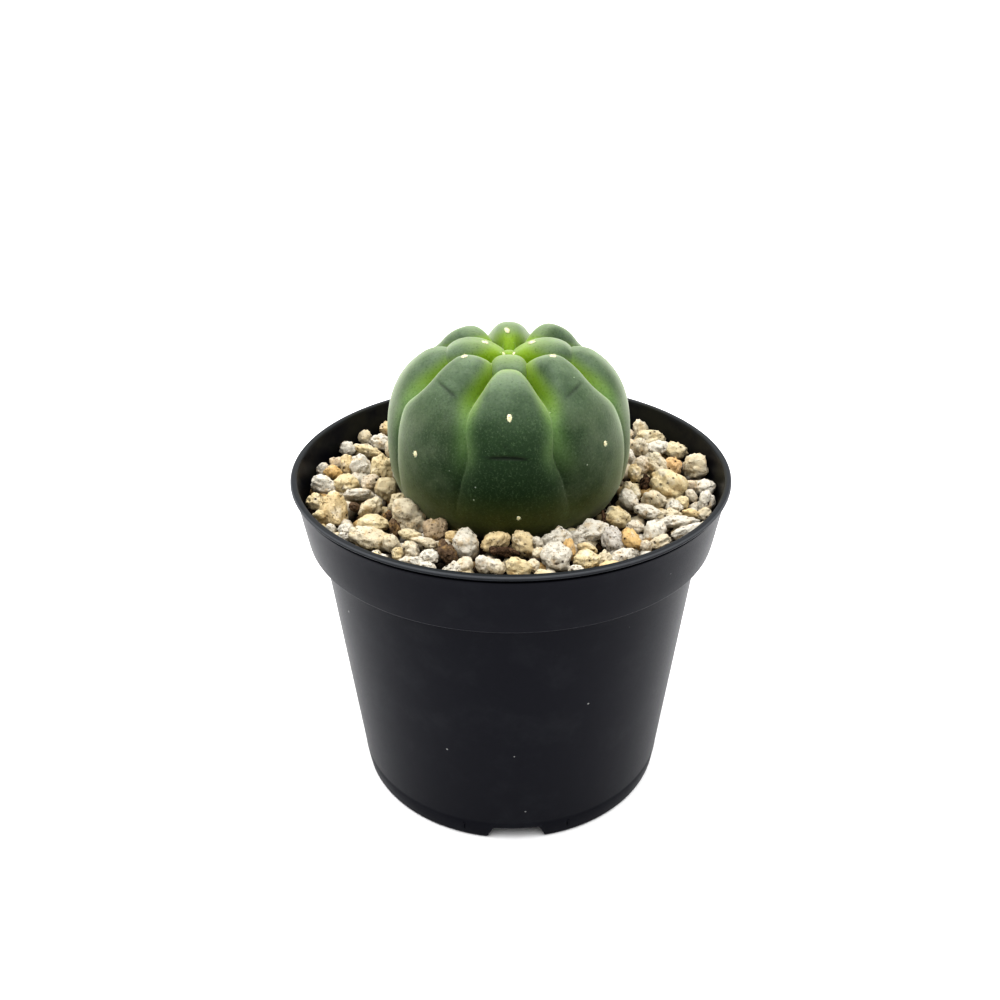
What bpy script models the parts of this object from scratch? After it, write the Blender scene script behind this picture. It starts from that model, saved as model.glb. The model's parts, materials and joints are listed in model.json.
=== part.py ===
"""A chin cactus in a round nursery pot, with potting mix and a top dressing of pumice granules.

Metres, +Z up. The pot's foot stands on z = 0 round the Z axis, and the front of the plant faces -Y.
Each separate physical piece is one object: pot, potting_mix, top_dressing and cactus.
"""

import math
import random
from typing import NamedTuple

import bmesh
import bpy
import numpy as np
from mathutils import Matrix, Vector

MM = 0.001
SEAT_GAP = 0.35 * MM

# Pot: a thin moulded shell
POT_HEIGHT = 80.0 * MM
LIP_RADIUS = 50.0 * MM
LIP_HEIGHT = 1.0 * MM
LIP_WIDTH = 1.6 * MM
LIP_ROUND = 0.45 * MM
UNDERCUT_HEIGHT = 0.65 * MM
UNDERCUT_RADIUS = 48.85 * MM
BAND_TOP_HEIGHT = POT_HEIGHT - LIP_HEIGHT - UNDERCUT_HEIGHT
BAND_TOP_RADIUS = 49.2 * MM
BAND_FOOT_RADIUS = 47.1 * MM
BAND_FOOT_HEIGHT = 65.2 * MM
WALL_TOP_RADIUS = 44.3 * MM
FOOT_RADIUS = 37.35 * MM
FOOT_ROUND = 0.8 * MM
FOOT_RING_WIDTH = 1.9 * MM
WALL = 1.05 * MM
BAND_WALL = 0.95 * MM
FLOOR_HEIGHT = 4.2 * MM
POT_SEGMENTS = 60
NOTCH_COUNT = 3
NOTCH_TURN = math.radians(1.9)
NOTCH_TOP_WIDTH = 10.9 * MM
NOTCH_FOOT_WIDTH = 13.2 * MM
NOTCH_HEIGHT = 3.8 * MM
NOTCH_ROUND = 0.6 * MM
DRAIN_COUNT = 6
DRAIN_RADIUS = 3.5 * MM
DRAIN_CIRCLE = 23.0 * MM
DRAIN_TURN = math.radians(16.3)

# Potting mix and the bed of the dressing
MIX_TOP = 70.0 * MM
BED_TOP_AT_PLANT = 73.5 * MM
BED_TOP_AT_WALL = 72.2 * MM
MIX_SEGMENTS = 24
BED_SEGMENTS = 40

# Granules of the dressing
GRANULE_COUNT = 142
GRANULE_SEED = 11
GRANULE_HALF = (2.4 * MM, 3.3 * MM)
GRANULE_HEIGHT = 0.85
GRANULE_ROUGHNESS = 0.16
GRANULE_LIFT = 0.7 * MM
GRANULE_INNER = 26.8 * MM
GRANULE_OUTER = 43.9 * MM
GOLDEN_ANGLE = math.pi * (3.0 - math.sqrt(5.0))

# Plant: a globe of ribs round its heart, measured by the polar angle from straight up
HEART = Vector((-0.4 * MM, 0.0, 86.6 * MM))
GLOBE_RADIUS = 27.4 * MM
CROWN_RISE = 23.7 * MM
BASE_DROP = 20.2 * MM
SQUARENESS = 2.58
SIDE_GROOVE = 1.15 * MM
SHOULDER_GROOVE = 4.6 * MM
SHOULDER_POLAR = math.radians(40.0)
SHOULDER_SPREAD = math.radians(26.0)
SHOULDER_END = math.radians(66.0)
GROOVE_FADE = (math.radians(84.0), math.radians(116.0))
GROOVE_POWER = 3.3
WAIST_SINK = 1.1 * MM
WAIST_SPREAD = math.radians(8.0)
RISE_POLAR = math.radians(28.0)
RISE_SPREAD = math.radians(14.0)
TURN_RANGE = (math.radians(62.0), math.radians(94.0))
LEAST_HALF_WIDTH = 2.2 * MM
CREASE_BLEND = 0.12 * MM
APEX_SINK = 3.4 * MM
APEX_CURVE = 6.0 * MM
BODY_END = math.radians(150.0)
BODY_RINGS = 36
BODY_COLUMNS = 72
COLUMN_BIAS = 0.45
ROOT_PROFILE = ((9.0 * MM, 65.8 * MM), (7.5 * MM, 61.0 * MM), (5.5 * MM, 53.0 * MM), (3.5 * MM, 47.0 * MM))
ROOT_TIP = 45.5 * MM

# Woolly areoles: angle from the front and from straight up, in degrees
AREOLE_PLACES = (
    (0, 58), (4, 104), (46, 30), (48, 77), (-46, 30), (-46, 81), (87, 13), (104, 74),
    (-85, 13), (-104, 74), (132, 68), (-133, 68), (-176, 18), (180, 80),
)
AREOLE_RADIUS = 0.85 * MM
AREOLE_HEIGHT = 0.4 * MM


class Young(NamedTuple):
    """A young tubercle inside a rib's inner end: angle, sink, curve along the rib, half width and fall."""

    polar: float
    sink: float
    along: float
    half_width: float
    fall: float


class Rib(NamedTuple):
    """A rib: its angle from the front, where its crest sinks at the crown, its waists and swellings."""

    turn: float
    inner_end: float
    end_curve: float
    waists: tuple[float, ...]
    young: Young | None = None
    rise: float = 0.0
    low_turn: float = 0.0
    notch: float = 0.0


FRONT_YOUNG = Young(18.0, 2.5 * MM, 13.0 * MM, 4.8 * MM, 2.0 * MM)
SIDE_YOUNG = Young(23.0, 0.5 * MM, 11.0 * MM, 5.2 * MM, 2.8 * MM)
RIBS = (
    Rib(0.0, 48.0, 14.0 * MM, (77.0,), FRONT_YOUNG),
    Rib(44.0, 33.0, 4.5 * MM, (50.0, 104.0), rise=0.3 * MM, low_turn=9.0, notch=0.35 * MM),
    Rib(90.0, 44.0, 8.0 * MM, (33.0, 77.0), SIDE_YOUNG, 0.3 * MM, 4.0),
    Rib(132.5, 32.0, 6.5 * MM, (48.0, 92.0), rise=1.3 * MM, notch=0.9 * MM),
    Rib(180.0, 27.0, 7.0 * MM, (53.0, 104.0), rise=0.4 * MM),
    Rib(227.0, 32.0, 6.5 * MM, (48.0, 92.0), rise=0.8 * MM, notch=0.8 * MM),
    Rib(270.0, 44.0, 8.0 * MM, (33.0, 77.0), SIDE_YOUNG, 0.3 * MM),
    Rib(317.0, 33.0, 4.5 * MM, (50.0, 104.0), rise=0.3 * MM, low_turn=-2.0, notch=0.35 * MM),
)
RIB_HALF = math.pi / len(RIBS)


def clear_scene():
    """Remove what the file opened with."""
    for obj in list(bpy.data.objects):
        bpy.data.objects.remove(obj)


def make_material(name, colour, roughness):
    """A plain Principled material."""
    material = bpy.data.materials.new(name)
    material.use_nodes = True
    shader = material.node_tree.nodes["Principled BSDF"]
    shader.inputs["Base Color"].default_value = (*colour, 1.0)
    shader.inputs["Roughness"].default_value = roughness
    shader.inputs["Metallic"].default_value = 0.0
    return material


def object_from(name, bm, material=None):
    """Turn a bmesh into a smooth-shaded object with outward faces."""
    bmesh.ops.recalc_face_normals(bm, faces=bm.faces[:])
    mesh = bpy.data.meshes.new(name)
    bm.to_mesh(mesh)
    bm.free()
    mesh.shade_smooth()
    mesh.set_sharp_from_angle(angle=math.radians(35.0))
    if material:
        mesh.materials.append(material)
    obj = bpy.data.objects.new(name, mesh)
    bpy.context.scene.collection.objects.link(obj)
    return obj


def ring_at(bm, radius, height, segments, centre=(0.0, 0.0)):
    """A ring of vertices round Z, or a single one on the axis."""
    if radius <= 0.0:
        return [bm.verts.new((centre[0], centre[1], height))]
    turns = [2.0 * math.pi * i / segments for i in range(segments)]
    points = [(centre[0] + radius * math.cos(a), centre[1] + radius * math.sin(a), height) for a in turns]
    return [bm.verts.new(point) for point in points]


def join_rings(bm, lower, upper):
    """Faces between two rings, either of which may be one vertex."""
    count = max(len(lower), len(upper))
    for i in range(count):
        j = (i + 1) % count
        if len(lower) == 1:
            bm.faces.new((lower[0], upper[j], upper[i]))
        elif len(upper) == 1:
            bm.faces.new((lower[i], lower[j], upper[0]))
        else:
            bm.faces.new((lower[i], lower[j], upper[j], upper[i]))


def turned(name, profile, segments, material, closed=False, centre=(0.0, 0.0)):
    """A solid turned from (radius, height) points, closed on itself or by its two ends on the axis."""
    bm = bmesh.new()
    rings = [ring_at(bm, radius, height, segments, centre) for radius, height in profile]
    for lower, upper in zip(rings, rings[1:]):
        join_rings(bm, lower, upper)
    if closed:
        join_rings(bm, rings[-1], rings[0])
    return object_from(name, bm, material)


def corner(centre_radius, centre_height, size, start, end, steps=3):
    """Points of a rounded corner in the profile, by angles in degrees."""
    angles = [math.radians(start + (end - start) * i / steps) for i in range(steps + 1)]
    return [(centre_radius + size * math.cos(a), centre_height + size * math.sin(a)) for a in angles]


def apply_boolean(target, operand, operation, solver="EXACT"):
    """Apply a Boolean with an object or a collection, then remove the operand's objects."""
    modifier = target.modifiers.new(operation.title(), "BOOLEAN")
    modifier.operation = operation
    modifier.solver = solver
    if isinstance(operand, bpy.types.Collection):
        modifier.operand_type = "COLLECTION"
        modifier.collection = operand
    else:
        modifier.object = operand
    depsgraph = bpy.context.evaluated_depsgraph_get()
    joined = bpy.data.meshes.new_from_object(target.evaluated_get(depsgraph))
    target.modifiers.clear()
    joined.name = target.name
    target.data = joined
    if isinstance(operand, bpy.types.Collection):
        for obj in list(operand.objects):
            bpy.data.objects.remove(obj)
        bpy.data.collections.remove(operand)
    else:
        bpy.data.objects.remove(operand)


def wall_radius(height):
    """Outer radius of the pot's lower wall."""
    return FOOT_RADIUS + (WALL_TOP_RADIUS - FOOT_RADIUS) * height / BAND_FOOT_HEIGHT


def band_radius(height):
    """Outer radius of the collar band."""
    share = (height - BAND_FOOT_HEIGHT) / (BAND_TOP_HEIGHT - BAND_FOOT_HEIGHT)
    return BAND_FOOT_RADIUS + (BAND_TOP_RADIUS - BAND_FOOT_RADIUS) * share


def bore_radius(height):
    """Inner radius of the pot above its floor."""
    if height > BAND_FOOT_HEIGHT + WALL:
        return band_radius(height) - BAND_WALL
    return wall_radius(height) - WALL


def pot_profile():
    """Half section of the pot, from the middle of its underside out, up and back to its floor."""
    under_lip = POT_HEIGHT - LIP_HEIGHT
    lip_bore = LIP_RADIUS - LIP_WIDTH
    step_top = BAND_FOOT_HEIGHT + WALL
    floor_top = FLOOR_HEIGHT + WALL
    ring_bore = FOOT_RADIUS - FOOT_RING_WIDTH
    profile = [(0.0, FLOOR_HEIGHT), (ring_bore + 0.3 * MM, FLOOR_HEIGHT), (ring_bore, 0.0)]
    profile += corner(FOOT_RADIUS - FOOT_ROUND, FOOT_ROUND, FOOT_ROUND, -90.0, 0.0)
    profile += [(WALL_TOP_RADIUS, BAND_FOOT_HEIGHT - 0.1 * MM)]
    profile += corner(BAND_FOOT_RADIUS - LIP_ROUND, BAND_FOOT_HEIGHT + LIP_ROUND, LIP_ROUND, -90.0, 0.0, 2)
    profile += [(BAND_TOP_RADIUS, BAND_TOP_HEIGHT), (UNDERCUT_RADIUS, BAND_TOP_HEIGHT)]
    profile += [(UNDERCUT_RADIUS, under_lip)]
    profile += corner(LIP_RADIUS - LIP_ROUND, under_lip + LIP_ROUND, LIP_ROUND, -80.0, 0.0, 2)
    profile += corner(LIP_RADIUS - LIP_ROUND, POT_HEIGHT - LIP_ROUND, LIP_ROUND, 0.0, 90.0, 3)
    profile += corner(lip_bore + LIP_ROUND, POT_HEIGHT - LIP_ROUND, LIP_ROUND, 90.0, 180.0, 2)
    profile += [(bore_radius(BAND_TOP_HEIGHT), BAND_TOP_HEIGHT)]
    profile += [(bore_radius(step_top + 0.2 * MM), step_top + 0.2 * MM)]
    profile += [(wall_radius(step_top) - WALL, step_top - 0.1 * MM)]
    profile += [(bore_radius(floor_top), floor_top + 0.4 * MM)]
    profile += [(bore_radius(floor_top) - 0.5 * MM, floor_top)]
    profile += [(0.0, floor_top)]
    return profile


def notch_cutter(turn):
    """A block with sloped sides that opens the foot ring at one angle from the front."""
    bm = bmesh.new()
    depth = (FOOT_RADIUS - FOOT_RING_WIDTH - 2.0 * MM, FOOT_RADIUS + 3.0 * MM)
    half_foot = 0.5 * NOTCH_FOOT_WIDTH
    half_top = 0.5 * NOTCH_TOP_WIDTH + 0.5 * NOTCH_ROUND
    right = (
        (half_foot + 2.0 * NOTCH_ROUND, -NOTCH_ROUND),
        (half_foot - 0.3 * NOTCH_ROUND, NOTCH_ROUND),
        (half_top, NOTCH_HEIGHT - NOTCH_ROUND),
        (half_top - NOTCH_ROUND, NOTCH_HEIGHT),
    )
    section = list(right) + [(-x, z) for x, z in reversed(right)]
    near = [bm.verts.new((x, -depth[1], z)) for x, z in section]
    far = [bm.verts.new((x, -depth[0], z)) for x, z in section]
    bm.faces.new(near)
    bm.faces.new(far[::-1])
    join_rings(bm, near, far)
    bmesh.ops.rotate(bm, verts=bm.verts[:], matrix=Matrix.Rotation(turn, 3, "Z"))
    return object_from("notch_cutter", bm)


def drain_cutter(index):
    """A round cutter for one drainage hole: the middle one first, then the circle of them."""
    turn = DRAIN_TURN + 2.0 * math.pi * index / DRAIN_COUNT
    centre = (0.0, 0.0) if index == 0 else (DRAIN_CIRCLE * math.cos(turn), DRAIN_CIRCLE * math.sin(turn))
    low = FLOOR_HEIGHT - 2.0 * MM
    high = FLOOR_HEIGHT + WALL + 2.0 * MM
    profile = [(0.0, low), (DRAIN_RADIUS, low), (DRAIN_RADIUS, high), (0.0, high)]
    return turned("drain_cutter", profile, 16, None, centre=centre)


def build_pot():
    """The pot, with notches in its foot ring and drainage holes in its raised floor."""
    plastic = make_material("black_plastic", (0.013, 0.014, 0.015), 0.42)
    pot = turned("pot", pot_profile(), POT_SEGMENTS, plastic)
    for index in range(NOTCH_COUNT):
        apply_boolean(pot, notch_cutter(NOTCH_TURN + 2.0 * math.pi * index / NOTCH_COUNT), "DIFFERENCE")
    for index in range(DRAIN_COUNT + 1):
        apply_boolean(pot, drain_cutter(index), "DIFFERENCE")
    return pot


def crest_reach(polar):
    """Distance from the heart to the crests of the ribs."""
    height = np.where(np.cos(polar) > 0.0, CROWN_RISE, BASE_DROP)
    across = (np.abs(np.sin(polar)) / GLOBE_RADIUS) ** SQUARENESS
    along = (np.abs(np.cos(polar)) / height) ** SQUARENESS
    return (across + along) ** (-1.0 / SQUARENESS)


def smooth_step(value, low, high):
    """A share that runs smoothly from 0 at the low value to 1 at the high one."""
    share = np.clip((value - low) / (high - low), 0.0, 1.0)
    return share * share * (3.0 - 2.0 * share)


def bell(value, middle, spread):
    """A smooth bump of height 1 round the middle."""
    return np.exp(-(((value - middle) / spread) ** 2))


def groove_depth(polar):
    """Depth of the grooves between ribs: wedges on the shoulders, gone where the plant meets the soil."""
    inward = bell(np.minimum(polar, SHOULDER_POLAR), SHOULDER_POLAR, SHOULDER_SPREAD)
    wedge = inward * (1.0 - smooth_step(polar, SHOULDER_POLAR, SHOULDER_END))
    return (SIDE_GROOVE + SHOULDER_GROOVE * wedge) * (1.0 - smooth_step(polar, *GROOVE_FADE))


def rib_sinks(rib, polar, azimuth):
    """How far the lobe of one rib, and its young tubercle if it has one, lie under the crests."""
    turn = math.radians(rib.turn) + math.radians(rib.low_turn) * smooth_step(polar, *TURN_RANGE)
    crest = crest_reach(polar)
    width = np.maximum(crest * np.sin(polar) * math.sin(RIB_HALF), LEAST_HALF_WIDTH)
    side = crest * np.sin(polar) * np.sin(azimuth - turn)
    along = np.arctan2(np.sin(polar) * np.cos(azimuth - turn), np.cos(polar))
    past_end = crest * np.maximum(math.radians(rib.inner_end) - along, 0.0)
    depth = groove_depth(polar)
    for waist in rib.waists:
        fading = 1.0 - smooth_step(polar, *GROOVE_FADE)
        depth = depth + WAIST_SINK * bell(polar, math.radians(waist), WAIST_SPREAD) * fading
    rise = rib.rise * bell(along, RISE_POLAR, RISE_SPREAD)
    notch = rib.notch * bell(polar, math.radians(rib.waists[0]), WAIST_SPREAD)
    flank = depth * np.abs(side / width) ** GROOVE_POWER
    sinks = [flank + past_end**2 / (2.0 * rib.end_curve) - rise + notch]
    if rib.young:
        off = crest * (along - math.radians(rib.young.polar))
        fall = rib.young.fall * np.abs(side / rib.young.half_width) ** GROOVE_POWER
        sinks.append(rib.young.sink + off**2 / (2.0 * rib.young.along) + fall - rise)
    return sinks


def plant_reach(polar, azimuth):
    """Distance from the heart to the skin: the crests, less the least sink among all the lobes."""
    crest = crest_reach(polar)
    sinks = [APEX_SINK + (crest * polar) ** 2 / (2.0 * APEX_CURVE)]
    for rib in RIBS:
        sinks += rib_sinks(rib, polar, azimuth)
    nearest = np.min(sinks, axis=0)
    spread = sum(np.exp(-(sink - nearest) / CREASE_BLEND) for sink in sinks)
    return crest - nearest + CREASE_BLEND * np.log(spread)


def plant_point(polar, azimuth):
    """A point of the plant's skin and the direction from the heart to it."""
    reach = float(plant_reach(np.array(polar), np.array(azimuth)))
    way = Vector((math.sin(polar) * math.sin(azimuth), -math.sin(polar) * math.cos(azimuth), math.cos(polar)))
    return HEART + way * reach, way


def plant_body():
    """The ribbed globe with its root neck, as one closed mesh."""
    bm = bmesh.new()
    turns = np.arange(BODY_COLUMNS) * 2.0 * math.pi / BODY_COLUMNS
    turns += COLUMN_BIAS / len(RIBS) * np.sin(len(RIBS) * turns)
    polar, azimuth = np.meshgrid(np.linspace(0.0, BODY_END, BODY_RINGS + 1)[1:], turns, indexing="ij")
    reach = plant_reach(polar, azimuth)
    x = HEART.x + reach * np.sin(polar) * np.sin(azimuth)
    y = HEART.y - reach * np.sin(polar) * np.cos(azimuth)
    z = HEART.z + reach * np.cos(polar)
    rings = [[bm.verts.new((float(HEART.x), 0.0, float(plant_point(0.0, 0.0)[0].z)))]]
    for row in np.stack([x, y, z], axis=-1):
        rings.append([bm.verts.new(point) for point in row.tolist()])
    for radius, height in ROOT_PROFILE:
        turns = azimuth[0] - 0.5 * math.pi
        ring = [(HEART.x + radius * math.cos(a), radius * math.sin(a), height) for a in turns]
        rings.append([bm.verts.new(point) for point in ring])
    rings.append([bm.verts.new((float(HEART.x), 0.0, ROOT_TIP))])
    for upper, lower in zip(rings, rings[1:]):
        join_rings(bm, upper, lower)
    return object_from("cactus", bm, make_material("green_skin", (0.11, 0.20, 0.07), 0.5))


def areole_pad(azimuth_degrees, polar_degrees):
    """A low pad of wool, half sunk in the skin."""
    point, way = plant_point(math.radians(polar_degrees), math.radians(azimuth_degrees))
    bm = bmesh.new()
    bmesh.ops.create_icosphere(bm, subdivisions=1, radius=1.0)
    bmesh.ops.scale(bm, verts=bm.verts[:], vec=(AREOLE_RADIUS, AREOLE_RADIUS, AREOLE_HEIGHT))
    bmesh.ops.rotate(bm, verts=bm.verts[:], matrix=way.to_track_quat("Z", "Y").to_matrix())
    bmesh.ops.translate(bm, verts=bm.verts[:], vec=point)
    return object_from("areole_pad", bm)


def build_cactus():
    """The plant, with its areoles joined on."""
    cactus = plant_body()
    pads = bpy.data.collections.new("areole_pads")
    bpy.context.scene.collection.children.link(pads)
    for azimuth_degrees, polar_degrees in AREOLE_PLACES:
        pad = areole_pad(azimuth_degrees, polar_degrees)
        bpy.context.scene.collection.objects.unlink(pad)
        pads.objects.link(pad)
    apply_boolean(cactus, pads, "UNION")
    return cactus


def plant_side_radius(height):
    """Radius of the plant's round foot at a height, read from the crest curve."""
    polar = np.linspace(math.radians(90.0), BODY_END, 240)
    reach = crest_reach(polar)
    return float(np.interp(-height, -(HEART.z + reach * np.cos(polar)), reach * np.sin(polar)))


def build_potting_mix():
    """The mix, which fills the pot under the dressing, with a plain hole for the plant's foot and root."""
    floor_top = FLOOR_HEIGHT + WALL
    step_low = BAND_FOOT_HEIGHT + WALL - 0.1 * MM
    step_high = BAND_FOOT_HEIGHT + WALL + 0.2 * MM
    profile = [(0.0, floor_top + SEAT_GAP), (bore_radius(floor_top) - 0.9 * MM, floor_top + SEAT_GAP)]
    profile += [(bore_radius(floor_top) - SEAT_GAP - 0.05 * MM, floor_top + 0.9 * MM)]
    profile += [(wall_radius(step_low) - WALL - SEAT_GAP, step_low + SEAT_GAP)]
    profile += [(bore_radius(step_high) - SEAT_GAP, step_high + SEAT_GAP)]
    profile += [(bore_radius(MIX_TOP) - SEAT_GAP, MIX_TOP)]
    profile += [(plant_side_radius(MIX_TOP) + SEAT_GAP + 0.4 * MM, MIX_TOP)]
    for polar_degrees in (138.0, 144.0, 150.0):
        polar = math.radians(polar_degrees)
        reach = float(crest_reach(np.array(polar))) + SEAT_GAP + 0.1 * MM
        profile.append((reach * math.sin(polar), HEART.z + reach * math.cos(polar)))
    profile += [(radius + SEAT_GAP + 0.15 * MM, height - SEAT_GAP) for radius, height in ROOT_PROFILE]
    profile += [(0.0, ROOT_TIP - SEAT_GAP)]
    hole_start = len(profile) - len(ROOT_PROFILE) - 5
    bm = bmesh.new()
    rings = []
    for index, (radius, height) in enumerate(profile):
        centre = (HEART.x, 0.0) if index >= hole_start else (0.0, 0.0)
        rings.append(ring_at(bm, radius, height, MIX_SEGMENTS, centre))
    for lower, upper in zip(rings, rings[1:]):
        join_rings(bm, lower, upper)
    return object_from("potting_mix", bm, make_material("dark_soil", (0.03, 0.018, 0.011), 0.95))


def granule(centre, half, draw):
    """One lump of pumice: a rough, slightly flat twenty-sided stone, kept inside the pot's wall."""
    bm = bmesh.new()
    bmesh.ops.create_icosphere(bm, subdivisions=1, radius=half)
    for vert in bm.verts:
        vert.co *= 1.0 + draw.uniform(-GRANULE_ROUGHNESS, GRANULE_ROUGHNESS)
    stretch = (draw.uniform(0.85, 1.15), draw.uniform(0.8, 1.0), GRANULE_HEIGHT * draw.uniform(0.85, 1.1))
    bmesh.ops.scale(bm, verts=bm.verts[:], vec=stretch)
    bmesh.ops.rotate(bm, verts=bm.verts[:], matrix=Matrix.Rotation(draw.uniform(0.0, math.tau), 3, "Z"))
    bmesh.ops.translate(bm, verts=bm.verts[:], vec=centre)
    for vert in bm.verts:
        vert.co.z = max(vert.co.z, MIX_TOP + 2.0 * SEAT_GAP)
        limit = bore_radius(vert.co.z) - SEAT_GAP
        vert.co.xy *= min(1.0, limit / vert.co.xy.length)
    return object_from("granule", bm)


def bed_top(radius):
    """Height of the bed, which rises a little towards the plant."""
    share = (radius - GRANULE_INNER) / (GRANULE_OUTER - GRANULE_INNER)
    return BED_TOP_AT_PLANT + (BED_TOP_AT_WALL - BED_TOP_AT_PLANT) * share


def granule_places(draw):
    """Centre and half size of each granule, on a jittered golden-angle spiral."""
    for index in range(GRANULE_COUNT):
        share = (index + 0.5) / GRANULE_COUNT
        radius = math.sqrt(GRANULE_INNER**2 + (GRANULE_OUTER**2 - GRANULE_INNER**2) * share)
        turn = index * GOLDEN_ANGLE + draw.uniform(-0.02, 0.02)
        half = draw.uniform(*GRANULE_HALF)
        height = bed_top(radius) + GRANULE_LIFT * draw.uniform(0.6, 1.4)
        yield Vector((radius * math.cos(turn), radius * math.sin(turn), height)), half


def plant_hole_cutter():
    """The plain hole that the plant stands in: its round foot, larger by the gap."""
    profile = [(0.0, HEART.z)]
    for polar_degrees in range(90, 151, 6):
        polar = math.radians(polar_degrees)
        reach = float(crest_reach(np.array(polar))) + 1.2 * SEAT_GAP
        profile.append((reach * math.sin(polar), HEART.z + reach * math.cos(polar)))
    profile.append((0.0, profile[-1][1]))
    return turned("plant_hole_cutter", profile[::-1], BED_SEGMENTS, None, centre=(HEART.x, 0.0))


def build_top_dressing():
    """The dressing: a thin bed covered with granules, with a hole for the plant."""
    low = MIX_TOP + SEAT_GAP
    profile = [
        (0.0, low),
        (bore_radius(low) - SEAT_GAP, low),
        (bore_radius(BED_TOP_AT_WALL) - SEAT_GAP, BED_TOP_AT_WALL),
        (GRANULE_INNER, BED_TOP_AT_PLANT),
        (0.0, BED_TOP_AT_PLANT),
    ]
    dressing = turned("top_dressing", profile, BED_SEGMENTS, make_material("pumice", (0.62, 0.53, 0.41), 0.9))
    draw = random.Random(GRANULE_SEED)
    granules = bpy.data.collections.new("granules")
    bpy.context.scene.collection.children.link(granules)
    for centre, half in granule_places(draw):
        stone = granule(centre, half, draw)
        bpy.context.scene.collection.objects.unlink(stone)
        granules.objects.link(stone)
    apply_boolean(dressing, granules, "UNION")
    apply_boolean(dressing, plant_hole_cutter(), "DIFFERENCE")
    keep_main_shell(dressing)
    return dressing


def keep_main_shell(obj):
    """Fill sealed hollows and drop loose scraps, by keeping only the largest connected shell."""
    bm = bmesh.new()
    bm.from_mesh(obj.data)
    bm.faces.ensure_lookup_table()
    seen = set()
    shells = []
    for start in bm.faces:
        if start.index in seen:
            continue
        shell = []
        front = [start]
        seen.add(start.index)
        while front:
            face = front.pop()
            shell.append(face)
            for edge in face.edges:
                for other in edge.link_faces:
                    if other.index not in seen:
                        seen.add(other.index)
                        front.append(other)
        shells.append(shell)
    shells.sort(key=len)
    scraps = [face for shell in shells[:-1] for face in shell]
    bmesh.ops.delete(bm, geom=scraps, context="FACES")
    bm.to_mesh(obj.data)
    bm.free()


def main():
    clear_scene()
    build_pot()
    build_potting_mix()
    build_top_dressing()
    build_cactus()


main()
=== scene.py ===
"""Looks of a chin cactus in a round nursery pot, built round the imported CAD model.

Every piece is in metres in the CAD frame: +Z up, the pot's foot on z = 0, the front rib of the plant facing -Y.
"""
import json
import logging
import math
import random
from dataclasses import dataclass, field
from enum import Enum

import bmesh
import bpy
import numpy as np
from bmesh.types import BMesh
from bpy.types import Collection, Material, Mesh, Node, NodeSocket, NodeTree, Object
from mathutils import Matrix, Vector, noise
from mathutils.bvhtree import BVHTree

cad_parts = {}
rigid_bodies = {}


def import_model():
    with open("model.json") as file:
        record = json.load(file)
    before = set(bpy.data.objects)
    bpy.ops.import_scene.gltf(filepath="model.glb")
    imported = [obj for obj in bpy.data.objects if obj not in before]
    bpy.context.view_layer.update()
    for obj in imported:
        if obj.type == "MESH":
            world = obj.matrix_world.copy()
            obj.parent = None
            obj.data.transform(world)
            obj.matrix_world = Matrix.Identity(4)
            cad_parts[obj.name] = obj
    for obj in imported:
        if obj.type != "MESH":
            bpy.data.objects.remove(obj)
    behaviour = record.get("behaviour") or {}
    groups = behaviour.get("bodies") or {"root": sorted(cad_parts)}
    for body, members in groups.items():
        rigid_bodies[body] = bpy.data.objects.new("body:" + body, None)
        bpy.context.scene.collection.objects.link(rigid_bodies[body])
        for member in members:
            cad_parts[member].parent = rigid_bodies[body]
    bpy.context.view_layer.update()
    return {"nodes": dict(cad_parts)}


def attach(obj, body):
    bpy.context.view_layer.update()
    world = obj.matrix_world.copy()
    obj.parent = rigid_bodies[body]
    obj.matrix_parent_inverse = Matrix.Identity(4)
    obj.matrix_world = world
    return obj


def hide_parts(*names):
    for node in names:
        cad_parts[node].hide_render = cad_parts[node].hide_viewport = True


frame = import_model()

MM = 0.001
DEG = math.pi / 180.0
BODY = "root"
PHOTO_SIZE = 1000.0
NOISE_SHIFT = 50.0
CRUMB_SEED = 3157
LOG = logging.getLogger("potted_cactus")

Colour = tuple[float, float, float]
Span = tuple[float, float]
Grain = tuple[float, float]
Ripple = tuple[float, float]
Profile = list[tuple[float, float]]


class Slot(Enum):
    """Material slots of the record, which are also the names of the CAD nodes."""

    POT = "pot"
    MIX = "potting_mix"
    DRESSING = "top_dressing"
    CACTUS = "cactus"


def publish(piece: Object, slot: Slot, replaces: bool = False) -> Object:
    """Tie a finished piece to the frame.

    Args:
        piece: The finished mesh object, at the origin.
        slot: The slot whose CAD node it hides, when it replaces one.
        replaces: Whether it stands for the CAD node of the same name.

    Returns:
        The same object.
    """
    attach(piece, BODY)
    if replaces:
        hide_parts(slot.value)
    LOG.info("%s: %d faces", piece.name, len(piece.data.polygons))
    return piece


def add_object(name: str, mesh: Mesh, material: Material | None = None) -> Object:
    """Link a mesh into the scene as an object.

    Args:
        name: Name of the piece and of its mesh.
        mesh: The mesh, with its place in its vertices.
        material: The only material of the mesh, if any.

    Returns:
        The new object.
    """
    mesh.name = name
    if material:
        mesh.materials.clear()
        mesh.materials.append(material)
    piece = bpy.data.objects.new(name, mesh)
    bpy.context.scene.collection.objects.link(piece)
    return piece


def mesh_from(bm: BMesh, sharp_degrees: float = 40.0) -> Mesh:
    """Turn a bmesh into a smooth-shaded mesh with outward faces.

    Args:
        bm: The bmesh, which is freed.
        sharp_degrees: Angle past which an edge stays sharp.

    Returns:
        The mesh.
    """
    bmesh.ops.recalc_face_normals(bm, faces=bm.faces[:])
    mesh = bpy.data.meshes.new("made")
    bm.to_mesh(mesh)
    bm.free()
    mesh.shade_smooth()
    mesh.set_sharp_from_angle(angle=math.radians(sharp_degrees))
    return mesh


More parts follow.
